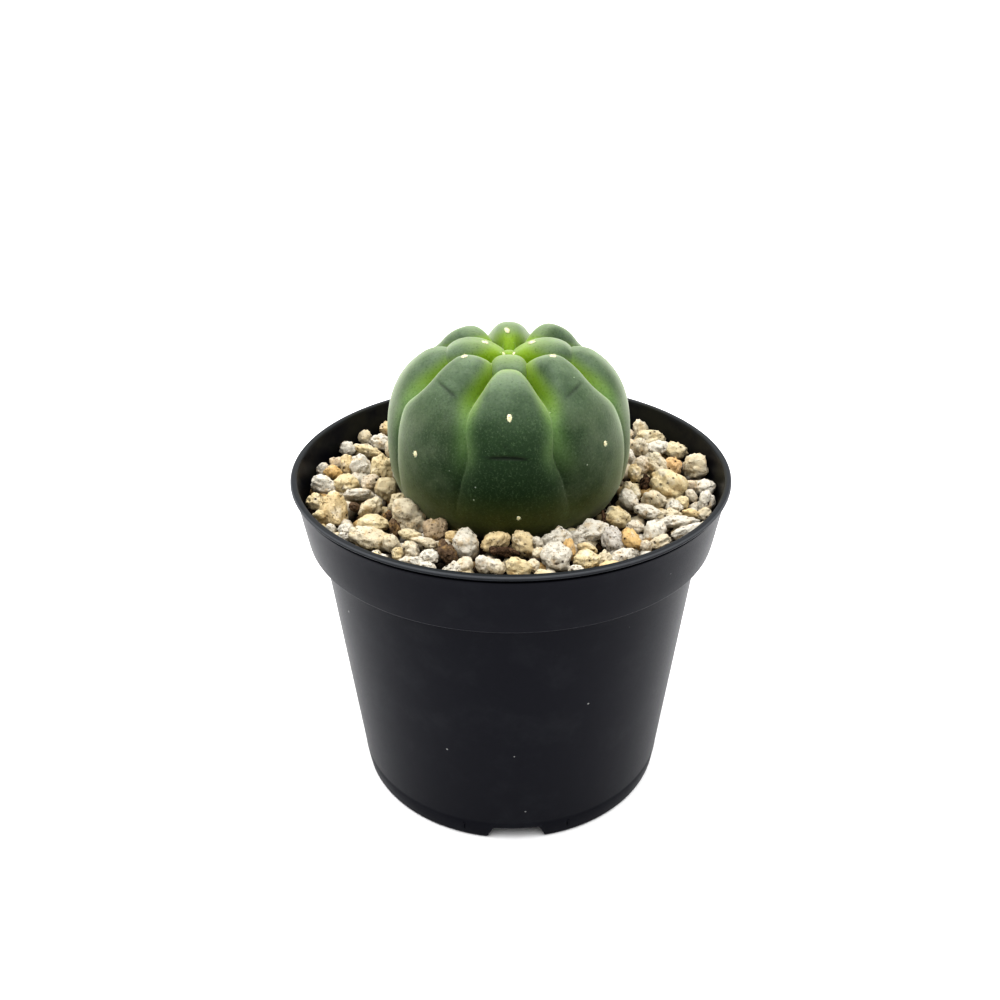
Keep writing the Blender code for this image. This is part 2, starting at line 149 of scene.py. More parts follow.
def baked(host: Object) -> Mesh:
    """Turn an object with live modifiers into a plain mesh, and remove the object.

    Args:
        host: The object that carries the modifiers.

    Returns:
        The evaluated mesh.
    """
    depsgraph = bpy.context.evaluated_depsgraph_get()
    evaluated = host.evaluated_get(depsgraph)
    mesh = bpy.data.meshes.new_from_object(evaluated, preserve_all_data_layers=True, depsgraph=depsgraph)
    bpy.data.objects.remove(host)
    return mesh


def join_rings(bm: BMesh, lower: list, upper: list) -> None:
    """Make the faces between two rings of vertices, either of which may be one vertex.

    Args:
        bm: The bmesh that holds them.
        lower: Vertices of one ring.
        upper: Vertices of the next ring.
    """
    count = max(len(lower), len(upper))
    for i in range(count):
        j = (i + 1) % count
        if len(lower) == 1:
            bm.faces.new((lower[0], upper[j], upper[i]))
        elif len(upper) == 1:
            bm.faces.new((lower[i], lower[j], upper[0]))
        else:
            bm.faces.new((lower[i], lower[j], upper[j], upper[i]))


def turned(bm: BMesh, profile: Profile, segments: int, centre: Vector = Vector()) -> None:
    """Add a solid turned about Z, whose profile starts and ends on the axis.

    Args:
        bm: The bmesh to add it to.
        profile: Points of radius and height, in order.
        segments: Sides of the turned solid.
        centre: Where its axis stands.
    """
    step = math.tau / segments
    rings = []
    for radius, height in profile:
        if radius <= 0.0:
            rings.append([bm.verts.new((centre.x, centre.y, height))])
            continue
        angles = [i * step for i in range(segments)]
        ring = [(centre.x + radius * math.cos(a), centre.y + radius * math.sin(a), height) for a in angles]
        rings.append([bm.verts.new(point) for point in ring])
    for lower, upper in zip(rings, rings[1:]):
        join_rings(bm, lower, upper)


def frame_matrix(x_axis: Vector, y_axis: Vector, z_axis: Vector, place: Vector) -> Matrix:
    """A 4 by 4 matrix with the given axes and origin."""
    matrix = Matrix((x_axis, y_axis, z_axis)).transposed().to_4x4()
    matrix.translation = place
    return matrix


def smooth(value: np.ndarray, low: float, high: float) -> np.ndarray:
    """A soft step from 0 at low to 1 at high."""
    share = np.clip((value - low) / (high - low), 0.0, 1.0)
    return share * share * (3.0 - 2.0 * share)


class Canvas:
    """Adds nodes to a tree, where each input is a value or a socket to link."""

    def __init__(self, tree: NodeTree) -> None:
        """Keep the tree that the nodes go into."""
        self.tree = tree

    def feed(self, node: Node, inputs: dict) -> None:
        """Set or link inputs of a node, given by their name or number."""
        for key, value in inputs.items():
            if isinstance(value, NodeSocket):
                self.tree.links.new(value, node.inputs[key])
            else:
                node.inputs[key].default_value = value

    def add(self, kind: str, inputs: dict | None = None, **settings: object) -> Node:
        """Add one node.

        Args:
            kind: Blender's name of the node type.
            inputs: Values or sockets by the input's name or number.
            **settings: Properties of the node.

        Returns:
            The node.
        """
        node = self.tree.nodes.new(kind)
        for name, value in settings.items():
            setattr(node, name, value)
        self.feed(node, inputs or {})
        return node

    def maths(self, operation: str, first: object, second: object = 0.0) -> NodeSocket:
        """One step of arithmetic, clamped to 0 to 1 for a sum or a product."""
        node = self.add("ShaderNodeMath", {0: first, 1: second}, operation=operation)
        node.use_clamp = operation in {"ADD", "MULTIPLY"}
        return node.outputs[0]

    def times(self, first: object, second: object) -> NodeSocket:
        """The product of two masks, or of a mask and a share."""
        return self.maths("MULTIPLY", first, second)

    def vector(self, operation: str, inputs: dict) -> NodeSocket:
        """One step of arithmetic with vectors."""
        return self.add("ShaderNodeVectorMath", inputs, operation=operation).outputs[0]

    def spread(self, value: object, low: float, high: float) -> NodeSocket:
        """A soft step from 0 at low to 1 at high."""
        inputs = {"Value": value, "From Min": low, "From Max": high}
        return self.add("ShaderNodeMapRange", inputs, interpolation_type="SMOOTHSTEP").outputs["Result"]

    def mix(self, factor: object, first: object, second: object) -> NodeSocket:
        """Mix two colours, each a socket or three numbers."""
        pair = [c if isinstance(c, NodeSocket) else (*c, 1.0) for c in (first, second)]
        return self.add("ShaderNodeMix", {0: factor, 6: pair[0], 7: pair[1]}, data_type="RGBA").outputs[2]

    def layered(self, base: object, layers: tuple["Layer", ...], values: dict[str, NodeSocket]) -> object:
        """Lay colours over a base, one after the other.

        Args:
            base: The colour under them all.
            layers: The colours and where they show.
            values: The values that the layers' masks name.

        Returns:
            The finished colour.
        """
        for layer in layers:
            mask = layer.share
            for name, span in layer.masks.items():
                mask = self.times(values[name] if span is None else self.spread(values[name], *span), mask)
            base = self.mix(mask, base, layer.colour)
            base.node.label = layer.name
        return base

    def ramp(self, factor: object, stops: tuple[tuple[float, Colour], ...]) -> NodeSocket:
        """A colour ramp through the given stops."""
        node = self.add("ShaderNodeValToRGB", {"Fac": factor})
        elements = node.color_ramp.elements
        while len(elements) < len(stops):
            elements.new(1.0)
        for element, (place, colour) in zip(elements, stops):
            element.position = place
            element.color = (*colour, 1.0)
        return node.outputs["Color"]

    def noise(self, vector: object, cloud: "Cloud") -> NodeSocket:
        """Cloudy noise from 0 to 1."""
        inputs = {"Vector": vector, "Scale": 1.0 / cloud.size, "Detail": cloud.detail, "Roughness": cloud.rough}
        return self.add("ShaderNodeTexNoise", inputs).outputs["Fac"]

    def place(self) -> NodeSocket:
        """Object coordinates, in metres."""
        return self.add("ShaderNodeTexCoord").outputs["Object"]

    def parts(self) -> bpy.types.bpy_prop_collection:
        """X, Y and Z of the object coordinates."""
        return self.add("ShaderNodeSeparateXYZ", {"Vector": self.place()}).outputs

    def attribute(self, name: str) -> NodeSocket:
        """A value that the mesh carries on its points."""
        return self.add("ShaderNodeAttribute", attribute_name=name).outputs["Fac"]

    def bump(self, height: object, distance: float, normal: object = None) -> NodeSocket:
        """A bumped normal, on top of another one if given."""
        inputs = {"Height": height, "Distance": distance, "Strength": 1.0}
        if normal is not None:
            inputs["Normal"] = normal
        return self.add("ShaderNodeBump", inputs).outputs["Normal"]


@dataclass(frozen=True)
class Layer:
    """A colour laid over those below it, where its masks and its share allow.

    A mask is a named value of the finish, as it is or through a soft step from 0 at the span's start to 1 at its end.
    """

    name: str
    colour: Colour
    masks: dict[str, Span | None]
    share: float = 1.0


@dataclass(frozen=True)
class Cloud:
    """Noise whose features measure about the given size in metres."""

    size: float
    detail: float
    rough: float


@dataclass(frozen=True)
class Specks:
    """Specks at random: spacing of their cells and wobble of their edge in metres, radius as a share of a cell."""

    spacing: float
    spot: float
    share_of_cells: float
    wobble: float = 0.0


def new_group(name: str, kind: str, inputs: dict[str, str], output: tuple[str, str]) -> tuple[Canvas, dict, object]:
    """Start a node group with named inputs and one output.

    Args:
        name: Name of the group.
        kind: Type of the node tree.
        inputs: Kind of socket, such as Float, by input name.
        output: Name of the output and its kind of socket.

    Returns:
        The canvas, the input sockets by name, and the output node.
    """
    tree = bpy.data.node_groups.new(name, kind)
    for label, socket in inputs.items():
        tree.interface.new_socket(name=label, in_out="INPUT", socket_type="NodeSocket" + socket)
    tree.interface.new_socket(name=output[0], in_out="OUTPUT", socket_type="NodeSocket" + output[1])
    canvas = Canvas(tree)
    start = canvas.add("NodeGroupInput")
    return canvas, {label: start.outputs[label] for label in inputs}, canvas.add("NodeGroupOutput")


def specks_group() -> NodeTree:
    """Specks scattered at random, such as dust on plastic or pores in skin and stone.

    Returns:
        A shader group from Vector, Scale, Size, Share and Wobble to Mask.
    """
    least_size = 0.35
    inputs = {"Vector": "Vector"} | dict.fromkeys(("Scale", "Size", "Share", "Wobble"), "Float")
    canvas, given, end = new_group("specks", "ShaderNodeTree", inputs, ("Mask", "Float"))
    rough = canvas.add("ShaderNodeTexNoise", {"Vector": given["Vector"], "Scale": given["Scale"], "Detail": 3.0})
    centred = canvas.vector("SUBTRACT", {0: rough.outputs["Color"], 1: (0.5, 0.5, 0.5)})
    shift = canvas.vector("SCALE", {0: centred, "Scale": given["Wobble"]})
    moved = canvas.vector("ADD", {0: given["Vector"], 1: shift})
    cells = canvas.add("ShaderNodeTexVoronoi", {"Vector": moved, "Scale": given["Scale"]})
    draw = canvas.add("ShaderNodeSeparateColor", {"Color": cells.outputs["Color"]})
    kept = canvas.maths("LESS_THAN", draw.outputs[0], given["Share"])
    grown = canvas.times(given["Size"], canvas.maths("ADD", draw.outputs[1], least_size))
    feeds = {"Value": cells.outputs["Distance"], "From Min": grown, "From Max": 0.0}
    inside = canvas.add("ShaderNodeMapRange", feeds)
    canvas.feed(end, {"Mask": canvas.times(inside.outputs["Result"], kept)})
    return canvas.tree


def grain_group() -> NodeTree:
    """Fine surface grain, for height and for small changes of colour and gloss.

    Returns:
        A shader group from Vector, Scale and Roughness to Grain.
    """
    inputs = {"Vector": "Vector", "Scale": "Float", "Roughness": "Float"}
    canvas, given, end = new_group("grain", "ShaderNodeTree", inputs, ("Grain", "Float"))
    canvas.feed(end, {"Grain": canvas.add("ShaderNodeTexNoise", given | {"Detail": 4.0}).outputs["Fac"]})
    return canvas.tree


class Effects:
    """The shader groups that more than one finish uses, built once."""

    def __init__(self) -> None:
        """Build the groups."""
        self.specks = specks_group()
        self.grain = grain_group()

    def speck_mask(self, canvas: Canvas, specks: Specks) -> NodeSocket:
        """Place the specks group, whose mask is 1 in the middle of a speck."""
        inputs = {"Vector": canvas.place(), "Scale": 1.0 / specks.spacing, "Size": specks.spot}
        inputs |= {"Share": specks.share_of_cells, "Wobble": specks.wobble}
        return canvas.add("ShaderNodeGroup", inputs, node_tree=self.specks).outputs["Mask"]

    def fine_grain(self, canvas: Canvas, size: float, rough: float) -> NodeSocket:
        """Place the grain group with features of the given size in metres."""
        inputs = {"Vector": canvas.place(), "Scale": 1.0 / size, "Roughness": rough}
        return canvas.add("ShaderNodeGroup", inputs, node_tree=self.grain).outputs["Grain"]


def start_material(name: str, plain: dict) -> tuple[Material, Canvas, Node]:
    """Start a material round its Principled shader.

    Args:
        name: Name of the material.
        plain: Values that are the same all over, by the shader's input name.

    Returns:
        The material, its canvas and the shader.
    """
    material = bpy.data.materials.new(name)
    material.use_nodes = True
    canvas = Canvas(material.node_tree)
    shader = material.node_tree.nodes["Principled BSDF"]
    canvas.feed(shader, plain)
    return material, canvas, shader


@dataclass(frozen=True)
class SatinPlastic:
    """Near-black moulded plastic with a satin skin, faint scuffs and dust specks, a lighter lip top that is partly
    wear and partly a painted reflection, and painted highlights along the lip's outer corner and the foot of the
    band.
    """

    colour: Colour = (0.0066, 0.0069, 0.0112)
    layers: tuple[Layer, ...] = (
        Layer("scuffs", (0.0110, 0.0118, 0.0160), {"scuffs": (0.46, 0.74)}),
        # Lighter top of the lip: partly scuff wear, partly a painted reflection of the light above.
        Layer("lip top wear and painted reflection", (0.022, 0.024, 0.027), {"height": (78.9 * MM, 79.5 * MM)}),
        Layer(
            "dusty inner wall",
            (0.022, 0.022, 0.018),
            {"inner": (0.0, 0.3 * MM), "height": (71.0 * MM, 74.0 * MM), "patches": (0.35, 0.65)},
        ),
        # Painted highlight: a thin light line along the lip's rounded outer corner.
        Layer("painted highlight on lip corner", (0.065, 0.068, 0.073), {"corner": (129.57 * MM, 129.70 * MM)}),
        # Painted highlight: a faint light line on the rounded foot of the band.
        Layer(
            "painted highlight at foot of band",
            (0.065, 0.068, 0.073),
            {"height": (65.15 * MM, 65.23 * MM), "step": (65.60 * MM, 65.35 * MM)},
            0.35,
        ),
        Layer("dust", (0.20, 0.20, 0.195), {"dust": (0.0, 0.35)}),
    )
    scuffs: Cloud = Cloud(11.0 * MM, 6.0, 0.65)
    patches: Cloud = Cloud(9.0 * MM, 4.0, 0.6)
    dust: Specks = Specks(7.5 * MM, 0.042, 0.45)
    inner_slope: float = 0.16
    inner_reach: float = 36.3 * MM
    roughness: Span = (0.29, 0.45)
    reflection: float = 0.10
    grain: Grain = (0.35 * MM, 0.55)
    grain_depth: float = 0.012 * MM

    def material(self, effects: Effects) -> Material:
        """Build the finish, whose inner layer lies inside a cone and whose painted highlight on the lip's corner lies
        outside one.
        """
        material, canvas, shader = start_material("satin_black_plastic", {"Specular IOR Level": self.reflection})
        x, y, height = (canvas.parts()[axis] for axis in "XYZ")
        squares = canvas.maths("ADD", canvas.maths("POWER", x, 2.0), canvas.maths("POWER", y, 2.0))
        radius = canvas.maths("SQRT", squares)
        inner_radius = canvas.maths("ADD", canvas.times(height, self.inner_slope), self.inner_reach)
        values = {
            "height": height,
            "step": height,
            "scuffs": canvas.noise(canvas.place(), self.scuffs),
            "patches": canvas.noise(canvas.place(), self.patches),
            "inner": canvas.maths("SUBTRACT", inner_radius, radius),
            # Mask of the painted highlight on the lip's outer corner.
            "corner": canvas.maths("ADD", height, radius),
            "dust": effects.speck_mask(canvas, self.dust),
        }
        grain = effects.fine_grain(canvas, *self.grain)
        gloss = {"Value": grain, "To Min": self.roughness[0], "To Max": self.roughness[1]}
        rough = canvas.add("ShaderNodeMapRange", gloss).outputs["Result"]
        normal = canvas.bump(grain, self.grain_depth)
        base = canvas.layered(self.colour, self.layers, values)
        canvas.feed(shader, {"Base Color": base, "Roughness": rough, "Normal": normal})
        return material


class Tone(Enum):
    """Colours of the granules, as places on the pumice's colour ramp, and bark."""

    WHITE = 0.0
    CREAM = 0.14
    BEIGE = 0.27
    YELLOW = 0.38
    TAN = 0.50
    OCHRE = 0.62
    PEACH = 0.72
    GREY = 0.80
    BROWN = 0.88
    SCORIA = 0.94
    SPECKLED = 1.0
    BARK = -1.0


@dataclass(frozen=True)
class Pumice:
    """Rough volcanic stone, pitted, from cream through beige to ochre, with stain and painted shade in its hollows,
    painted shade in its pores and pits, and darker deep in the dressing with soil dust and painted shade.
    """

    stops: tuple[tuple[Tone, Colour], ...] = (
        (Tone.WHITE, (0.74, 0.70, 0.61)),
        (Tone.CREAM, (0.75, 0.67, 0.51)),
        (Tone.BEIGE, (0.73, 0.64, 0.45)),
        (Tone.YELLOW, (0.76, 0.65, 0.42)),
        (Tone.TAN, (0.78, 0.64, 0.40)),
        (Tone.OCHRE, (0.74, 0.52, 0.25)),
        (Tone.PEACH, (0.72, 0.50, 0.28)),
        (Tone.GREY, (0.72, 0.67, 0.56)),
        (Tone.BROWN, (0.50, 0.40, 0.28)),
        (Tone.SCORIA, (0.15, 0.102, 0.066)),
        (Tone.SPECKLED, (0.66, 0.62, 0.56)),
    )
    layers: tuple[Layer, ...] = (
        Layer("stain", (0.62, 0.42, 0.18), {"blotches": (0.52, 0.70)}, 0.45),
        Layer("pale blotches", (0.80, 0.76, 0.67), {"blotches": (0.47, 0.30), "light": None}, 0.55),
        # Stain and painted shade: darker brown in the hollows of the relief.
        Layer("stain and painted shade in hollows", (0.40, 0.27, 0.13), {"relief": (0.42, 0.28)}, 0.8),
        Layer("dots", (0.055, 0.034, 0.020), {"dots": None}),
        # Painted shade: darker brown inside the pores.
        Layer("pores", (0.40, 0.27, 0.13), {"pores": (0.12, 0.65)}, 0.70),
        # Painted shade: near-black inside the pits.
        Layer("pits", (0.055, 0.034, 0.020), {"pits": (0.25, 0.8)}),
        # Soil dust and painted shade: darker deep in the dressing, between the granules.
        Layer("soil", (0.045, 0.030, 0.020), {"height": (74.2 * MM, 71.6 * MM)}, 0.9),
    )
    blotches: Cloud = Cloud(2.6 * MM, 3.0, 0.6)
    relief: Cloud = Cloud(0.8 * MM, 6.0, 0.66)
    relief_depth: float = 0.80 * MM
    pores: Specks = Specks(0.50 * MM, 0.44, 0.55, 0.34 * MM)
    pore_depth: float = 0.24 * MM
    pits: Specks = Specks(1.3 * MM, 0.42, 0.26, 0.60 * MM)
    pit_depth: float = 0.5 * MM
    dots: Specks = Specks(0.62 * MM, 0.46, 0.6, 0.3 * MM)
    dot_share: float = 0.95
    dotted_from: float = 0.86
    grit: Grain = (0.3 * MM, 0.7)
    grit_depth: float = 0.16 * MM

    def material(self, effects: Effects) -> Material:
        """Build the finish."""
        material, canvas, shader = start_material("pumice", {"Roughness": 0.92, "Specular IOR Level": 0.2})
        tone = canvas.attribute("stone_tone")
        relief = canvas.noise(canvas.place(), self.relief)
        pores, pits, dots = (effects.speck_mask(canvas, specks) for specks in (self.pores, self.pits, self.dots))
        dots = canvas.times(canvas.times(dots, self.dot_share), canvas.maths("GREATER_THAN", tone, self.dotted_from))
        values = {
            "blotches": canvas.noise(canvas.place(), self.blotches),
            "light": canvas.maths("LESS_THAN", tone, self.dotted_from),
            "relief": relief,
            "dots": dots,
            "pores": pores,
            "pits": pits,
            "height": canvas.parts()["Z"],
        }
        stops = tuple((place.value, colour) for place, colour in self.stops)
        tint = canvas.layered(canvas.ramp(tone, stops), self.layers, values)
        hollow = canvas.maths("SUBTRACT", 1.0, canvas.spread(pits, 0.0, 0.75))
        porous = canvas.maths("SUBTRACT", 1.0, canvas.spread(canvas.maths("MAXIMUM", pores, dots), 0.0, 0.8))
        normal = canvas.bump(hollow, self.pit_depth)
        normal = canvas.bump(porous, self.pore_depth, normal)
        normal = canvas.bump(relief, self.relief_depth, normal)
        normal = canvas.bump(effects.fine_grain(canvas, *self.grit), self.grit_depth, normal)
        canvas.feed(shader, {"Base Color": tint, "Normal": normal})
        return material


@dataclass(frozen=True)
class DarkMix:
    """Crumbly potting mix, or a bit of bark from it."""

    name: str = "potting_mix_crumb"
    dark: Colour = (0.012, 0.007, 0.004)
    light: Colour = (0.10, 0.055, 0.028)
    fibre: float = 1.0
    relief: float = 0.5 * MM
    lumps: Cloud = Cloud(1.6 * MM, 5.0, 0.65)
    lump_range: Span = (0.35, 0.7)
    grain: Grain = (0.3 * MM, 0.6)
    grain_range: Span = (0.2, 0.75)

    def material(self, effects: Effects) -> Material:
        """Build the finish."""
        material, canvas, shader = start_material(self.name, {"Roughness": 0.95, "Specular IOR Level": 0.15})
        stretch = canvas.add("ShaderNodeMapping", {"Vector": canvas.place(), "Scale": (1.0, self.fibre, 1.0)})
        lumps = canvas.noise(stretch.outputs["Vector"], self.lumps)
        grain = canvas.spread(effects.fine_grain(canvas, *self.grain), *self.grain_range)
        tint = canvas.mix(canvas.times(canvas.spread(lumps, *self.lump_range), grain), self.dark, self.light)
        canvas.feed(shader, {"Base Color": tint, "Normal": canvas.bump(lumps, self.relief)})
        return material


@dataclass(frozen=True)
class CactusSkin:
    """Living skin: green with a grey waxy bloom, yellow-green in the folds of the crown, olive at the foot.

    Heights run from 0 at the foot to 1 at the crown, and edges from 0 on the crest of a lobe to 1 in a groove.
    """

    green: Colour = (0.0135, 0.0365, 0.0110)
    layers: tuple[Layer, ...] = (
        Layer("waxy bloom", (0.140, 0.190, 0.120), {"height": (0.39, 0.80), "patches": (0.05, 0.75)}),
        # Painted shade: darker, deeper green low on the sides, where less light falls.
        Layer("painted shade on lower sides", (0.007, 0.024, 0.004), {"height": (0.44, 0.16)}),
        Layer("olive foot", (0.106, 0.110, 0.016), {"height": (0.30, 0.08)}, 0.85),
        # Painted light: the ribs turned away from the front are lighter than the front rib, below the crown.
        Layer("painted light on side ribs", (0.125, 0.150, 0.095), {"painted_side_light": None, "patches": (0.25, 0.70)}, 0.42),
        # Lighter green in the grooves at mid height, partly the skin's own colour, partly a painted highlight along
        # them.
        Layer("lighter groove green and painted highlight", (0.150, 0.245, 0.085), {"edge": (0.10, 0.80), "height": (0.28, 0.52)}, 0.6),
        Layer("young crown", (0.150, 0.215, 0.058), {"height": (0.76, 0.92)}, 0.90),
        Layer("folds of the crown", (0.165, 0.262, 0.006), {"edge": (0.14, 0.75), "height": (0.48, 0.72)}),
        # Painted sheen: pale where the skin turns away from the camera, as a rim of light.
        Layer("painted rim sheen", (0.360, 0.430, 0.262), {"painted_rim_mask": None}, 0.66),
        Layer("light mottle", (0.20, 0.27, 0.16), {"mottle": (0.50, 0.72)}, 0.20),
        Layer("dark mottle", (0.007, 0.024, 0.004), {"mottle": (0.48, 0.28)}, 0.40),
        Layer("pores", (0.20, 0.27, 0.16), {"pores": None}, 0.14),
        Layer("flecks", (0.62, 0.66, 0.55), {"flecks": (0.0, 0.5)}, 0.42),
        # Painted shade: near-black in the creases across the ribs.
        Layer("painted shade in creases", (0.006, 0.012, 0.005), {"fold": None}, 0.9),
    )
    patches: Cloud = Cloud(7.0 * MM, 4.0, 0.55)
    painted_rim_power: float = 2.4
    mottle: Grain = (0.5 * MM, 0.7)
    pores: Specks = Specks(0.34 * MM, 0.42, 0.55, 0.10 * MM)
    flecks: Specks = Specks(2.6 * MM, 0.10, 0.25)
    grain: Grain = (0.55 * MM, 0.6)
    grain_depth: float = 0.045 * MM

    def material(self, effects: Effects) -> Material:
        """Build the finish, from the values that the mesh carries."""
        plain = {
            "Roughness": 0.52,
            "Specular IOR Level": 0.22,
            "Subsurface Weight": 0.18,
            "Subsurface Radius": (0.5, 1.0, 0.2),
            "Subsurface Scale": 1.6 * MM,
            "Sheen Weight": 0.12,
            "Sheen Roughness": 0.40,
        }
        material, canvas, shader = start_material("cactus_skin", plain)
        facing = canvas.add("ShaderNodeLayerWeight", {"Blend": 0.5}).outputs["Facing"]
        values = {name: canvas.attribute(name) for name in ("edge", "height", "painted_side_light", "fold")}
        values |= {
            "patches": canvas.noise(canvas.place(), self.patches),
            "painted_rim_mask": canvas.maths("POWER", facing, self.painted_rim_power),
            "mottle": effects.fine_grain(canvas, *self.mottle),
            "pores": effects.speck_mask(canvas, self.pores),
            "flecks": effects.speck_mask(canvas, self.flecks),
        }
        normal = canvas.bump(effects.fine_grain(canvas, *self.grain), self.grain_depth)
        canvas.feed(shader, {"Base Color": canvas.layered(self.green, self.layers, values), "Normal": normal})
        return material


@dataclass(frozen=True)
class Wool:
    """Short cream wool of the areoles."""

    pale: Colour = (0.74, 0.71, 0.50)
    shade: Colour = (0.42, 0.36, 0.20)
    grain: Grain = (0.3 * MM, 0.6)
    shade_range: Span = (0.55, 0.3)

    def material(self, effects: Effects) -> Material:
        """Build the finish."""
        plain = {"Roughness": 0.85, "Sheen Weight": 0.4, "Subsurface Weight": 0.2, "Subsurface Scale": 0.3 * MM}
        material, canvas, shader = start_material("areole_wool", plain)
        shade = canvas.spread(effects.fine_grain(canvas, *self.grain), *self.shade_range)
        canvas.feed(shader, {"Base Color": canvas.mix(shade, self.pale, self.shade)})
        return material


@dataclass(frozen=True)
class PaleFloor:
    """Plain pale studio floor."""

    colour: Colour = (0.93, 0.93, 0.93)

    def material(self) -> Material:
        """Build the finish."""
        plain = {"Base Color": (*self.colour, 1.0), "Roughness": 0.9, "Specular IOR Level": 0.0}
        return start_material("pale_floor", plain)[0]


@dataclass
class Studio:
    """Pale floor, soft light and the camera at the photo's place."""

    camera_back: float = 215.0 * MM
    camera_height: float = 183.7 * MM
    camera_tilt: float = 62.156 * DEG
    lens: float = 37.30
    sensor: float = 36.0
    shift: float = -0.0109
    front_strength: float = 0.43
    gradient: Span = (-0.9, 0.3)
    back_strength: float = 1.05
    overhead_strength: float = 2.9
    overhead_spread: float = 85.0 * DEG
    floor_reach: float = 30.0
    overhead_tilt: Span = (3.0 * DEG, -5.0 * DEG)

    @property
    def eye(self) -> Vector:
        """The camera's place."""
        return Vector((0.0, -self.camera_back, self.camera_height))

    def turn(self) -> Matrix:
        """The camera's turn: X to the right of the photo, Y up it and Z towards the viewer."""
        return Matrix.Rotation(self.camera_tilt, 3, "X")

    def ray(self, x: float, y: float) -> tuple[Vector, Vector]:
        """The line of sight through a point of the photo.

        Args:
            x: Pixels from the left of the 1000 pixel wide photo.
            y: Pixels from its top.

        Returns:
            The camera's place, and a direction that goes one metre deep for each unit.
        """
        scale = self.sensor / self.lens
        across = (x / PHOTO_SIZE - 0.5 + self.shift) * scale
        up = (0.5 - y / PHOTO_SIZE) * scale
        way = self.turn() @ Vector((across, up, -1.0))
        return self.eye, way

    def on_photo(self, place: Vector) -> tuple[float, float, float]:
        """Where a place shows in the photo.

        Args:
            place: The place in metres.

        Returns:
            Pixels from the left and from the top, and the length in metres of one pixel there.
        """
        seen = self.turn().inverted() @ (place - self.eye)
        pixel = -seen.z * self.sensor / (self.lens * PHOTO_SIZE)
        x = PHOTO_SIZE * (0.5 - self.shift) + seen.x / pixel
        return x, 0.5 * PHOTO_SIZE - seen.y / pixel, pixel

    def camera(self) -> None:
        """Add the camera and make it the scene's."""
        lens = bpy.data.cameras.new("photo_camera")
        lens.lens = self.lens
        lens.sensor_width = self.sensor
        lens.shift_x = self.shift
        lens.clip_start = 0.01
        camera = bpy.data.objects.new("photo_camera", lens)
        camera.location = self.eye
        camera.rotation_euler = (self.camera_tilt, 0.0, 0.0)
        bpy.context.scene.collection.objects.link(camera)
        bpy.context.scene.camera = camera

    def lights(self) -> None:
        """Add white surroundings, dimmer on the camera's side, and the wide soft light overhead."""
        world = bpy.data.worlds.new("white_surroundings")
        world.use_nodes = True
        canvas = Canvas(world.node_tree)
        way = canvas.add("ShaderNodeSeparateXYZ", {"Vector": canvas.add("ShaderNodeTexCoord").outputs["Generated"]})
        reach = {"Value": way.outputs["Y"], "From Min": self.gradient[0], "From Max": self.gradient[1]}
        reach |= {"To Min": self.front_strength, "To Max": self.back_strength}
        strength = canvas.add("ShaderNodeMapRange", reach, interpolation_type="SMOOTHSTEP").outputs["Result"]
        seen = canvas.add("ShaderNodeLightPath").outputs["Is Camera Ray"]
        shown = canvas.add("ShaderNodeMapRange", {"Value": seen, "To Min": strength, "To Max": self.back_strength})
        feeds = {"Color": (1.0, 1.0, 1.0, 1.0), "Strength": shown.outputs["Result"]}
        canvas.feed(world.node_tree.nodes["Background"], feeds)
        bpy.context.scene.world = world
        light = bpy.data.lights.new("overhead", "SUN")
        light.energy = self.overhead_strength
        light.angle = self.overhead_spread
        lamp = bpy.data.objects.new("overhead", light)
        lamp.rotation_euler = (*self.overhead_tilt, 0.0)
        bpy.context.scene.collection.objects.link(lamp)

    def floor(self) -> None:
        """Add the floor."""
        bm = bmesh.new()
        bmesh.ops.create_grid(bm, x_segments=1, y_segments=1, size=self.floor_reach)
        add_object("floor", mesh_from(bm), PaleFloor().material())

    def build(self) -> None:
        """Build the studio."""
        bpy.context.scene.view_settings.view_transform = "Standard"
        bpy.context.scene.view_settings.look = "High Contrast"
        self.camera()
        self.lights()
        self.floor()


